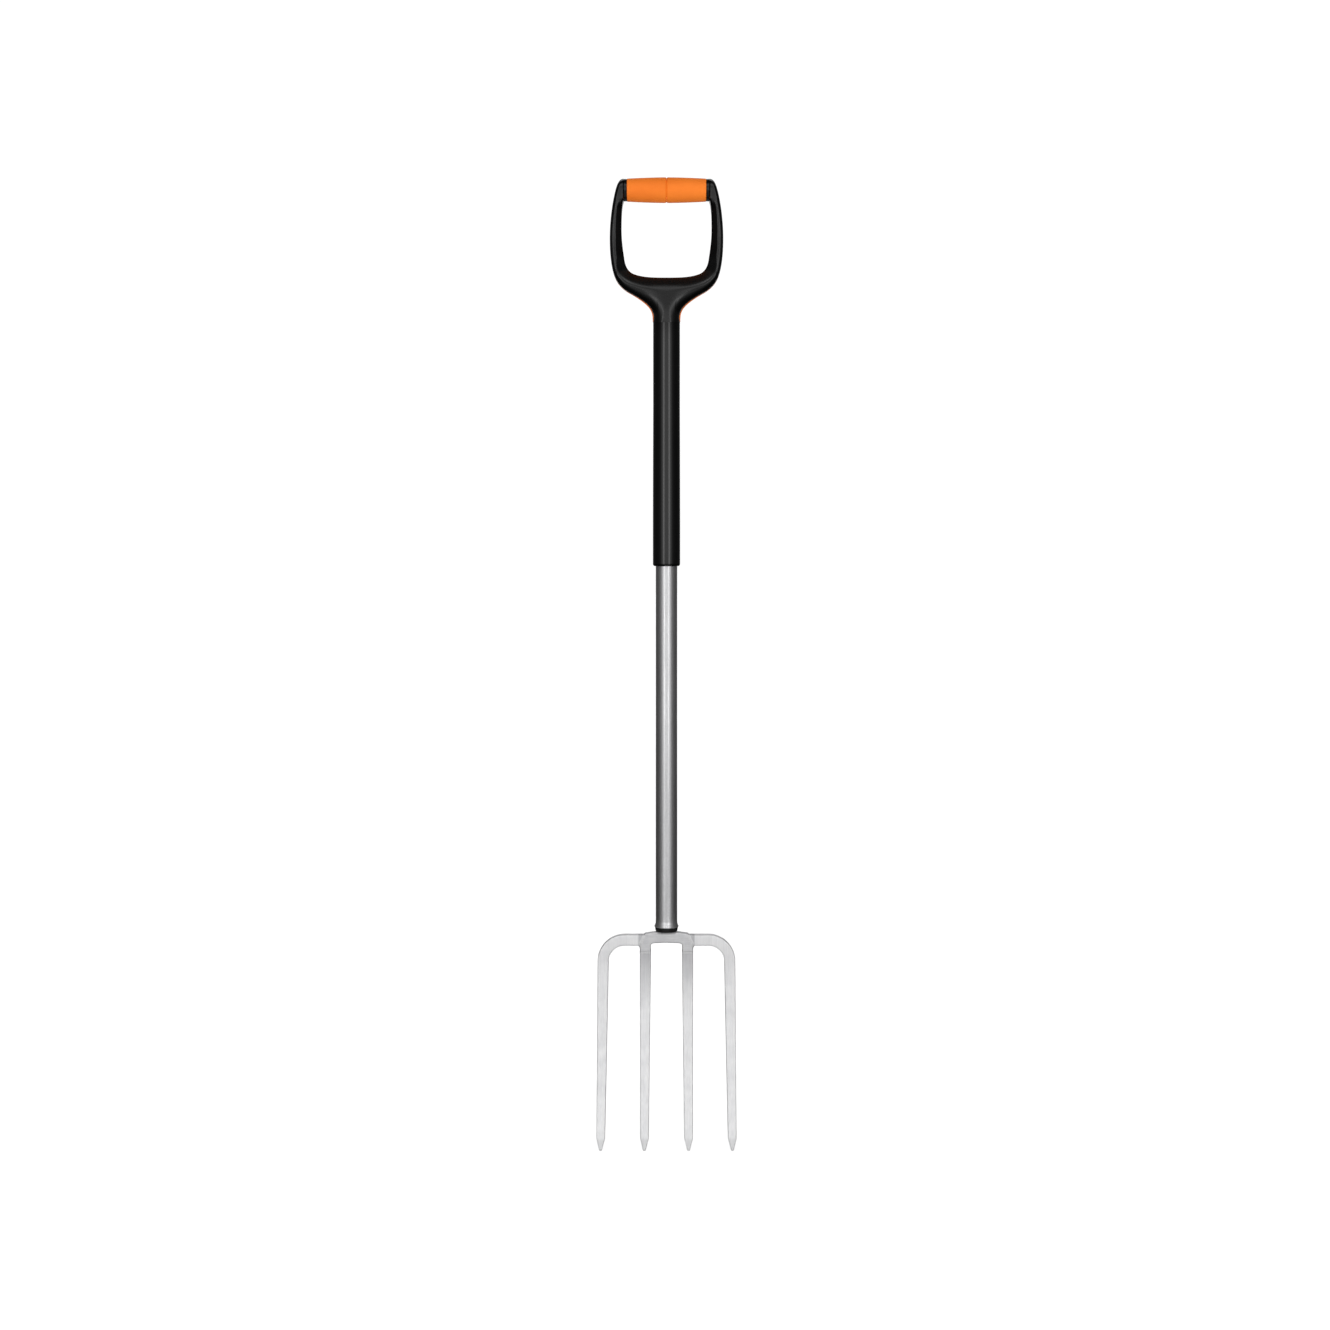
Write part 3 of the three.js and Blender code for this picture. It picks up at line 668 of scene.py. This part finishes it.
def bridge_mesh():
    """The overlapping parts of the bridge made into one skin, with soft fillets between them."""
    points, faces = [], []
    parts = (bridge_points(), stub_points(-1), stub_points(1), boss_points(), tang_points())
    for part_points, part_faces in parts:
        first = sum(len(p) for p in points)
        points.append(part_points)
        faces.extend([[first + i for i in face] for face in part_faces])
    mesh = mesh_of("head_bridge", np.concatenate(points), faces)
    mesh = modified(mesh, "head_bridge", "TRIANGULATE")
    mesh = modified(mesh, "head_bridge", "REMESH", mode="VOXEL", voxel_size=VOXEL * MM)
    return modified(mesh, "head_bridge", "SMOOTH", factor=0.5, iterations=8)


add_piece("forged_bridge", bridge_mesh(), forged_steel, ["head_bridge"], 60)

# ---------- neck ring and tube ----------

RING_LOW_Z = BOSS_TOP_Z + GAP
RING_TOP_Z = high("neck_ring")[2]
TUBE_LOW_Z = low("shaft_tube")[2]
TUBE_TOP_Z = high("shaft_tube")[2]
BORE_R = 11.5
ROLL_MARK = 11.0  # height of a shallow roll mark above the tube's lower end

ring_profile = filleted([(BORE_R, RING_LOW_Z - 0.2, 0.2), (12.6, RING_LOW_Z - 0.2, 0.5),
                         (13.6, RING_LOW_Z + 2.2, 1.4), (13.8, RING_TOP_Z + 0.1, 0.4),
                         (BORE_R, RING_TOP_Z + 0.1, 0.2)])
ring = mesh_of("neck_ring", *turned(ring_profile))
add_piece("neck_seal", ring, seal_rubber, ["neck_ring"])


def tube_profile():
    """Half section of the tube: a rolled, flared end and a shallow roll mark above it."""
    z = TUBE_LOW_Z
    corners = [(BORE_R, z, 0.3), (FLARE_R - 0.3, z, 0.35), (FLARE_R, z + 1.2, 0.9),
               (TUBE_R + 0.5, z + 3.4, 1.4), (TUBE_R, z + 6.6, 2.0), (TUBE_R, z + 9.0, 0)]
    mark = z + ROLL_MARK
    corners += [(TUBE_R, mark - 0.7, 0.3), (TUBE_R - 0.1, mark, 0.4), (TUBE_R, mark + 0.7, 0.3)]
    corners += [(TUBE_R, z + 18, 0), (TUBE_R, z + 240, 0), (TUBE_R, z + 480, 0)]
    corners += [(TUBE_R, TUBE_TOP_Z, 0.3), (BORE_R, TUBE_TOP_Z, 0.3)]
    return filleted(corners)


tube = mesh_of("shaft_tube", *turned(tube_profile()))
add_piece("tube_shaft", tube, tube_steel, ["shaft_tube"])

# ---------- sleeve and screws ----------

SLEEVE_LOW_Z = low("shaft_sleeve")[2]
SLEEVE_TOP_R = 16.0
SCREWS = ("handle_screw_upper", "handle_screw_lower")
HEAD_R = 4.0
HEAD_ROOM = 0.25


def screw_z(node):
    return (low(node)[2] + high(node)[2]) / 2


def sleeve_mesh():
    """The sleeve, a little slimmer above, with two round pockets in its back for the screws."""
    z = SLEEVE_LOW_Z
    bore = TUBE_R + 0.1
    profile = filleted([(bore, z, 0.2), (SLEEVE_R - 1.6, z, 0.9), (SLEEVE_R, z + 1.7, 1.2),
                        (SLEEVE_R, z + 50, 0), (SLEEVE_R - 0.1, z + 100, 0), (SLEEVE_TOP_R, z + 190, 0),
                        (SLEEVE_TOP_R, SEAT_Z - 60, 0), (SLEEVE_TOP_R, SEAT_Z - 25, 0),
                        (SLEEVE_TOP_R, SEAT_Z - 0.05, 0.15), (bore, SEAT_Z - 0.05, 0.15)])
    sleeve = mesh_of("shaft_sleeve", *turned(profile))
    for node in SCREWS:
        hole_r = HEAD_R + HEAD_ROOM
        hole_profile = [(0.01, 10), (hole_r, 10), (hole_r, 20), (0.01, 20)]
        centre = (0, 0, screw_z(node))
        hole = mesh_of("hole", *turned(hole_profile, 48, "y", centre, loop=False))
        cutter = bpy.data.objects.new("hole", hole)
        bpy.context.scene.collection.objects.link(cutter)
        sleeve = modified(sleeve, "shaft_sleeve", "BOOLEAN", operation="DIFFERENCE", object=cutter)
        bpy.data.objects.remove(cutter)
    return sleeve


add_piece("shaft_sleeve_cover", sleeve_mesh(), sleeve_plastic, ["shaft_sleeve"])


def screw_mesh(node):
    """A screw seen from behind: a low domed head with a round recess, and a shank."""
    top = high(node)[1]
    seat = top - 2.4
    profile = filleted([(0.02, top - 1.3, 0), (1.0, top - 1.3, 0.15), (1.55, top - 0.2, 0.2),
                        (2.2, top, 0.4), (HEAD_R - 0.9, top - 0.25, 0.7), (HEAD_R, top - 1.3, 0.6),
                        (HEAD_R, seat, 0.2), (2.0, seat, 0.2), (2.0, seat - 8, 0.3),
                        (0.02, seat - 8, 0)], closed=False)
    return mesh_of(node, *turned(profile, 64, "y", (0, 0, screw_z(node)), loop=False))


for node in SCREWS:
    add_piece(f"{node}_zinc", screw_mesh(node), screw_steel, [node])

# ---------- D-handle ----------

# Heights in the handle count up from its seat on the sleeve.
# The slope round the hole, by height: its width, and how steep it is.
CHAMFERS = [(42, 13.8), (60, 12.2), (80, 8.6), (104, 7.0), (140, 6.0)]
STEEPS = [(44, 0.6), (66, 0.7), (100, 0.92)]
SLIVER = 0.8  # how far the front of the neck stays inside the outline, where the pad shows
ARM_FACE_X = 50.2
NECK_DROP = 12.0
HOLE_LOW = 53.6

OUTLINE = joined(
    bezier((ARM_FACE_X + 0.2, ARM_TOP), (56.2, ARM_TOP), (59.4, 157.8), count=40),
    bezier((59.4, 157.8), (63.6, 142.6), (HANDLE_HALF, 121), (HANDLE_HALF, 98), count=60),
    bezier((HANDLE_HALF, 98), (HANDLE_HALF, 79), (65, 60), (59, 49.8), count=60),
    bezier((59, 49.8), (55.2, 43.4), (50.6, 39.9), (45.6, 36.6), count=40),
    bezier((45.6, 36.6), (NECK_R - 1, 20.4), (NECK_R, 13.8), (NECK_R, 0), count=60),
    bezier((NECK_R, 0), (NECK_R, -NECK_DROP), count=8),
)
HOLE = joined(
    bezier((ARM_FACE_X, ARM_TOP), (ARM_FACE_X, 144), count=12),
    bezier((ARM_FACE_X, 144), (52.6, 138), (53.1, 123), (53.1, 110), count=40),
    bezier((53.1, 110), (53.1, 98), (51.6, 87), (50, 77), count=40),
    bezier((50, 77), (49.2, 68), (46, 60.4), (37.9, 57.5), count=50),
    bezier((37.9, 57.5), (27, HOLE_LOW), (14, HOLE_LOW), (0, HOLE_LOW), count=50),
)
FULL_HOLE = np.concatenate([HOLE, (HOLE * np.array((-1, 1)))[-2::-1]])
DEPTHS = [(0, NECK_R), (10, NECK_R - 0.2), (40, 12.8), (62, 11), (100, 9.5), (150, ARM_TOP - GRIP_AXIS)]
# Places that face each other, as shares of the outline's length and of the hole's.
JOINED_PLACES = [(0, 0), (0.11, 0.07), (0.27, 0.19), (0.5, 0.42), (0.62, 0.57), (0.74, 0.7),
                 (0.93, 0.9), (1, 1)]
ARM_EDGE_R = 4.8
LIP_R = 2.4


def round_rise(distance, radius):
    return np.sqrt(1 - (1 - np.clip(distance / radius, 0, 1)) ** 2)


def most_deep(z):
    above = np.clip((z - GRIP_AXIS) / (ARM_TOP - GRIP_AXIS), 0, 1)
    return eased(DEPTHS, z) * np.sqrt(np.maximum(1 - above ** 2, 1e-6))


def neck_half_width(z):
    flank = OUTLINE[OUTLINE[:, 1] < 44][::-1]
    return np.interp(z, flank[:, 1], flank[:, 0])


def wall_half(z):
    """Half height of the straight wall round the outline: tall on the arms, nothing at the neck."""
    return mix(0.05, 2.0, smooth(2, 22, z)) + 2.6 * smooth(40, 75, z) * (1 - smooth(150, 166, z))


def soft_least(a, b, width):
    """The lesser of two values, eased where they meet."""
    share = np.clip(0.5 + 0.5 * (b - a) / width, 0, 1)
    return mix(b, a, share) - width * share * (1 - share)


def half_depth(places, from_edge, from_hole, inset):
    """Half depth of the handle at (x, z) places: a round neck that turns into a yoke and arms
    with rounded edges outside and a slope and a thin lip round the hand hole."""
    x, z = np.abs(places[..., 0]), places[..., 1]
    most = most_deep(z)
    wall = np.minimum(wall_half(z), most * 0.7)
    edge_r = mix(ARM_EDGE_R, NECK_R, 1 - smooth(6, 60, z))
    plain = round_rise(from_edge, edge_r)
    across = np.clip(x / np.maximum(1, neck_half_width(z) - inset), 0, 1)
    in_neck = 1 - smooth(8, 60, z)
    share = mix(plain, np.sqrt(1 - across ** 2), in_neck)
    flank = wall + (most - wall) * share
    steep = eased(STEEPS, z) * (1 - smooth(132, 146, z))
    width = eased(CHAMFERS, z)
    slope = most - steep * (width - np.minimum(width + 3, from_hole))
    lip = mix(0.8, 1, round_rise(from_hole, LIP_R))
    return soft_least(flank, slope * lip, mix(1.8, 0.6, smooth(45, 75, z)))


def section_line(share):
    """The line in X and Z that one section follows, from the outline to the hand hole."""
    start = at_shares(OUTLINE, share)
    end = at_shares(HOLE, reading(JOINED_PLACES, share))
    bend = smooth(34, 8, start[1])
    turn = np.array((min(end[0], start[0] * 0.25), start[1]))
    return bezier(start, mix((start + end) / 2, turn, bend), end, count=160)


def spread(length):
    """Places across a section: dense at the rounded edge, the crest and the lip."""
    scale = min(1, length / 14.8)
    edge_end = 5.0 * scale
    crest, slope, lip_start = length - np.array([9.2, 5.6, LIP_R]) * scale
    crest = max(crest, edge_end + 0.1 * scale)
    edge = edge_end * (1 - np.cos(np.linspace(0, math.pi / 2, 12)[:-1]))
    middle = [np.linspace(a, b, count, endpoint=False) for a, b, count in
              ((edge_end, crest, 10), (crest, slope, 14), (slope, lip_start, 6))]
    lip = lip_start + (length - lip_start) * np.sin(np.linspace(0, math.pi / 2, 9))
    return np.concatenate([edge, *middle, lip])


WALL_STEPS = 9  # points between front and back on the outline's wall
LIP_STEPS = 4  # and on the hand hole's
ARM_END = 0.06  # share of the outline that the rounded top of an arm takes


def handle_half(lines, insets, sign):
    """One row of points per section, from the outline to the hole: the front or the back."""
    spreads = [inset + spread(lengths_along(line)[-1] - inset) for line, inset in zip(lines, insets)]
    flat = np.array([at_lengths(line, places) for line, places in zip(lines, spreads)])
    inset = insets[:, None]
    deep = half_depth(flat, distance_to(OUTLINE, flat) - inset, distance_to(FULL_HOLE, flat), inset)
    return np.stack([flat[..., 0], sign * deep, flat[..., 1] + SEAT_Z], axis=-1)


def between(one, two, count):
    """Rows of points spread between two rows, both of which are left out."""
    return np.stack([mix(one, two, t) for t in np.linspace(0, 1, count + 2)[1:-1]], axis=1)


def handle_grid():
    """Closed rings through the handle: front from hole to edge, wall, back from edge to hole, lip."""
    arm = 1 - np.cos(np.linspace(0, math.pi / 2, 60))
    shares = np.concatenate([ARM_END * arm[:-1], np.linspace(ARM_END, 1, 260)])
    lines = [section_line(share) for share in shares]
    heights = np.array([line[0, 1] for line in lines])
    slivers = SLIVER * smooth(44, 16, heights) * smooth(0, 9, heights)
    front = handle_half(lines, slivers, -1)
    back = handle_half(lines, np.zeros(len(lines)), 1)
    wall = between(front[:, 0], back[:, 0], WALL_STEPS)
    lip = between(back[:, -1], front[:, -1], LIP_STEPS)
    return np.concatenate([front[:, ::-1], wall, back, lip], axis=1)


def mirrored_rows(rows):
    """Rows of the right half, then the left half mirrored, sharing the middle row."""
    left = rows[:-1][::-1] * np.array((-1, 1, 1))
    return np.concatenate([rows, left])


def cut_below(mesh, height):
    """Cut away what is under a height, and close the cut."""
    shape = bmesh.new()
    shape.from_mesh(mesh)
    everything = shape.verts[:] + shape.edges[:] + shape.faces[:]
    cut = bmesh.ops.bisect_plane(shape, geom=everything, plane_co=(0, 0, height * MM),
                                 plane_no=(0, 0, 1), clear_inner=True)
    rim = [item for item in cut["geom_cut"] if isinstance(item, bmesh.types.BMEdge)]
    bmesh.ops.contextual_create(shape, geom=rim)
    shape.to_mesh(mesh)
    shape.free()
    return mesh


grid = handle_grid()
moulding = cut_below(mesh_of("handle_frame", *skin(mirrored_rows(grid))), SEAT_Z)
add_piece("handle_moulding", moulding, handle_plastic, ["handle_frame"], 34)

# ---------- pad on the back of the yoke ----------

PAD_LOW = 2.2  # height of the pad's lower end
PAD_KEEP = 12.5  # how far the pad stays from the hand hole
PAD_DEEP = 1.8
PAD_PROUD = 0.35
PAD_SUNK = 0.35  # how far its border dips into the moulding
PAD_BORDER_R = 1.1
PAD_ACROSS = 60


def pad_front_y(z):
    """Front edge of the pad along the flank; it sweeps to the back where the pad climbs the arms."""
    return -1.5 + 16 * np.clip((z - 46) / 40, 0, 1) ** 1.6


def pad_stretch(ring):
    """The part of one handle section that the pad covers, as evenly spaced points."""
    line = ring[:-LIP_STEPS][::-1]  # from the back's hole side round to the front
    along = lengths_along(line)
    z = line[:, 2] - SEAT_Z
    from_hole = distance_to(FULL_HOLE, line[:, (0, 2)] - np.array((0, SEAT_Z)))
    keep = mix(PAD_KEEP, 60, smooth(50, 84, z))
    within = np.minimum(from_hole - keep, line[:, 1] - pad_front_y(z))
    inside = within > 0
    if not inside.any():
        return None
    first = np.argmax(inside)
    last = len(inside) - 1 - np.argmax(inside[::-1])

    def crossing(i, j):
        return along[i] + (along[j] - along[i]) * within[i] / (within[i] - within[j])

    begin = crossing(first - 1, first) if first > 0 else along[first]
    end = crossing(last + 1, last) if last + 1 < len(within) else along[last]
    if end - begin < 0.8:
        return None
    return at_lengths(line, np.linspace(begin, end, PAD_ACROSS))


def pad_mesh(grid):
    """The pad: it follows the back of the moulding, a little proud of it, with sunk borders."""
    rows = [pad_stretch(ring) for ring in grid]
    rows = mirrored_rows(np.array([row for row in rows if row is not None]))
    across = np.gradient(rows, axis=1)
    along = np.gradient(rows, axis=0)
    normal = np.cross(across, along)
    normal /= np.maximum(np.linalg.norm(normal, axis=-1, keepdims=True), 1e-9)
    if normal[len(rows) // 2, PAD_ACROSS // 3, 1] < 0:
        normal = -normal
    size = np.linalg.norm(across, axis=-1)
    from_start = np.cumsum(size, axis=1) - size[:, :1]
    from_border = np.minimum(from_start, from_start[:, -1:] - from_start)
    step = np.linalg.norm(along, axis=-1).mean(axis=1)
    from_tip = np.cumsum(step) - step[0]
    from_border = np.minimum(from_border, np.minimum(from_tip, from_tip[::-1])[:, None])
    height = rows[..., 2] - SEAT_Z
    proud = PAD_PROUD * mix(1, smooth(0.1, 0.6, normal[..., 1]), smooth(22, 38, height)) + 0.03
    lift = mix(-PAD_SUNK, proud, round_rise(from_border, PAD_BORDER_R))
    outside = rows + normal * lift[..., None]
    inside = rows - normal * PAD_DEEP
    rings = np.concatenate([outside, inside[:, ::-1]], axis=1)
    return cut_below(mesh_of("yoke_back_pad", *skin(rings)), SEAT_Z + PAD_LOW)


add_piece("yoke_soft_pad", pad_mesh(grid), soft_orange, ["yoke_back_pad"], 50)

# ---------- grip ----------

FLANGE_R = 12.8
CORE_R = 7.8
COLLAR_X = 46.7
GRIP_END_R = 13.2
GRIP_MID_R = 14.7
GROOVE_HALF = 0.9
GROOVE_DEPTH = 0.95

core_end = high("grip_crossbar")[0]
collar_r = FLANGE_R + 0.1
collar_end = ARM_FACE_X - 0.05
half_core = [(0.02, core_end, 0), (CORE_R, core_end, 0.5), (CORE_R, collar_end, 0.2),
             (collar_r, collar_end, 0.3), (collar_r, COLLAR_X, 0.5), (CORE_R, COLLAR_X, 0.2)]
whole_core = half_core + [(r, -x, reach) for r, x, reach in half_core[::-1]]
core_shape = turned(filleted(whole_core, closed=False), 120, "x", (0, 0, GRIP_Z), loop=False)
core = mesh_of("grip_crossbar", *core_shape)
add_piece("grip_core", core, handle_plastic, ["grip_crossbar"])


def grip_profile(side):
    """Half section of one grip sleeve: half of the groove in the middle, then a slim barrel."""
    outer = COLLAR_X - 0.1
    bore = CORE_R + 0.1
    barrel = [(mix(GRIP_MID_R, GRIP_END_R, (x / outer) ** 1.7), x, 1.5) for x in np.linspace(4, 45, 12)]
    corners = [(bore, 0.01, 0.2), (GRIP_MID_R - GROOVE_DEPTH, 0.01, 0.2),
               (GRIP_MID_R - GROOVE_DEPTH + 0.05, GROOVE_HALF - 0.6, 0.3),
               (GRIP_MID_R, GROOVE_HALF + 0.2, 0.5)] + barrel
    corners += [(GRIP_END_R - 0.05, outer, 0.7), (bore, outer, 0.3)]
    return [(r, side * x, reach) for r, x, reach in corners]


for word, side in SIDES:
    shape = turned(filleted(grip_profile(side)), 144, "x", (0, 0, GRIP_Z))
    sleeve = mesh_of(f"grip_sleeve_{word}", *shape)
    add_piece(f"soft_grip_{word}", sleeve, soft_orange, [f"grip_sleeve_{word}"], 50)

# ---------- floor, light and camera ----------

FLOOR_HALF = 30.0
FLOOR_ROOM = 0.0005

floor_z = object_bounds()[0][2] - FLOOR_ROOM
floor_shader = Shader("pale_floor")
floor_tone = floor_shader.colour(floor_shader.noise(3, 2), grey(0.9), grey(0.93))
floor_shader.link(floor_tone, "Base Color")
floor_shader.set(Roughness=0.9, Specular_IOR_Level=0.0)
floor_shader.set(Emission_Color=(1, 1, 1, 1), Emission_Strength=0.55)
floor_mesh = bpy.data.meshes.new("floor")
floor_corners = [(x * FLOOR_HALF, y * FLOOR_HALF, 0) for x, y in ((-1, -1), (1, -1), (1, 1), (-1, 1))]
floor_mesh.from_pydata(floor_corners, [], [(0, 1, 2, 3)])
floor = bpy.data.objects.new("floor", floor_mesh)
floor.location.z = floor_z
floor_mesh.materials.append(floor_shader.material)
bpy.context.scene.collection.objects.link(floor)
floor.visible_glossy = False
floor.visible_diffuse = False

# Light levels of the room by direction, as (degrees, level): 0 is the front or the horizon.
GLOSS_BY_AZIMUTH = [(0, 0.6), (17, 0.62), (19.5, 1.95), (25, 1.95), (27.5, 0.85), (35, 0.55),
                    (42, 0.36), (50, 0.13), (66, 0.06), (90, 0.035), (148, 0.035), (163, 0.5), (180, 0.55)]
GLOSS_BY_ELEVATION = [(-90, 0.4), (-45, 0.55), (-18, 0.52), (-8.5, 0.52), (-5, 2.15), (9, 2.05),
                      (17, 1.0), (35, 0.95), (40, 2.4), (48, 2.4), (58, 0.6), (68, 0.04), (90, 0.04)]
SOFT_BY_AZIMUTH = [(0, 1.45), (45, 1.35), (65, 0.36), (115, 0.2), (140, 0.75), (180, 0.95)]
SOFT_BY_ELEVATION = [(-90, 0.6), (-45, 0.98), (0, 1.0), (45, 0.74), (90, 0.42)]
SEEN_LEVEL = 1.05


def levels(nodes, links, value, table, low_end, high_end):
    """A ramp that reads a table of (degrees, level) pairs."""
    share = nodes.new("ShaderNodeMapRange")
    share.inputs["From Min"].default_value = math.radians(low_end)
    share.inputs["From Max"].default_value = math.radians(high_end)
    links.new(value, share.inputs["Value"])
    ramp = nodes.new("ShaderNodeValToRGB")
    elements = ramp.color_ramp.elements
    top = max(level for _, level in table)
    for i, (degrees, level) in enumerate(table):
        place = (degrees - low_end) / (high_end - low_end)
        element = elements[i] if i < 2 else elements.new(place)
        element.position = place
        element.color = (level / top,) * 3 + (1,)
    links.new(share.outputs["Result"], ramp.inputs["Fac"])
    return maths(nodes, links, "MULTIPLY", ramp.outputs["Color"], top)


def background(nodes):
    node = nodes.new("ShaderNodeBackground")
    node.inputs["Color"].default_value = (1, 1, 1, 1)
    return node


def studio_world():
    """A white room for the eye, with its own levels for reflections and for soft light."""
    world = bpy.data.worlds.new("studio")
    bpy.context.scene.world = world
    world.use_nodes = True
    nodes, links = world.node_tree.nodes, world.node_tree.links
    nodes.clear()
    direction = nodes.new("ShaderNodeTexCoord").outputs["Generated"]
    split = nodes.new("ShaderNodeSeparateXYZ")
    links.new(direction, split.inputs["Vector"])
    x, y, z = (split.outputs[axis] for axis in "XYZ")
    side = maths(nodes, links, "ABSOLUTE", x)
    azimuth = maths(nodes, links, "ARCTAN2", side, maths(nodes, links, "MULTIPLY", y, -1.0))
    elevation = maths(nodes, links, "ARCSINE", z)
    kinds = []
    tables = ((GLOSS_BY_AZIMUTH, GLOSS_BY_ELEVATION), (SOFT_BY_AZIMUTH, SOFT_BY_ELEVATION))
    for azimuth_table, elevation_table in tables:
        by_azimuth = levels(nodes, links, azimuth, azimuth_table, 0, 180)
        by_elevation = levels(nodes, links, elevation, elevation_table, -90, 90)
        kind = background(nodes)
        links.new(maths(nodes, links, "MULTIPLY", by_azimuth, by_elevation), kind.inputs["Strength"])
        kinds.append(kind)
    glossy, soft = kinds
    white = background(nodes)
    white.inputs["Strength"].default_value = SEEN_LEVEL
    ray = nodes.new("ShaderNodeLightPath")
    unseen = nodes.new("ShaderNodeMixShader")
    links.new(ray.outputs["Is Diffuse Ray"], unseen.inputs["Fac"])
    links.new(glossy.outputs["Background"], unseen.inputs[1])
    links.new(soft.outputs["Background"], unseen.inputs[2])
    seen = nodes.new("ShaderNodeMixShader")
    links.new(ray.outputs["Is Camera Ray"], seen.inputs["Fac"])
    links.new(unseen.outputs["Shader"], seen.inputs[1])
    links.new(white.outputs["Background"], seen.inputs[2])
    output = nodes.new("ShaderNodeOutputWorld")
    links.new(seen.outputs["Shader"], output.inputs["Surface"])


studio_world()
bpy.context.scene.view_settings.view_transform = "Standard"

EYE_ACROSS = -0.0018
EYE_DISTANCE = 2.2
EYE_HEIGHT = 0.72
AIM_HEIGHT = 0.58435
FRAME_HEIGHT = 1.593  # height of the picture where the camera aims, in metres
SENSOR = 36

camera_data = bpy.data.cameras.new("camera")
camera = bpy.data.objects.new("camera", camera_data)
bpy.context.scene.collection.objects.link(camera)
eye_z = TIP_Z * MM + EYE_HEIGHT
aim_z = TIP_Z * MM + AIM_HEIGHT
camera.location = (EYE_ACROSS, -EYE_DISTANCE, eye_z)
tilt = math.atan2(eye_z - aim_z, EYE_DISTANCE)
camera.rotation_euler = (math.pi / 2 - tilt, 0, 0)
reach = EYE_DISTANCE / math.cos(tilt)
camera_data.sensor_width = SENSOR
camera_data.lens = SENSOR * reach / FRAME_HEIGHT
bpy.context.scene.camera = camera
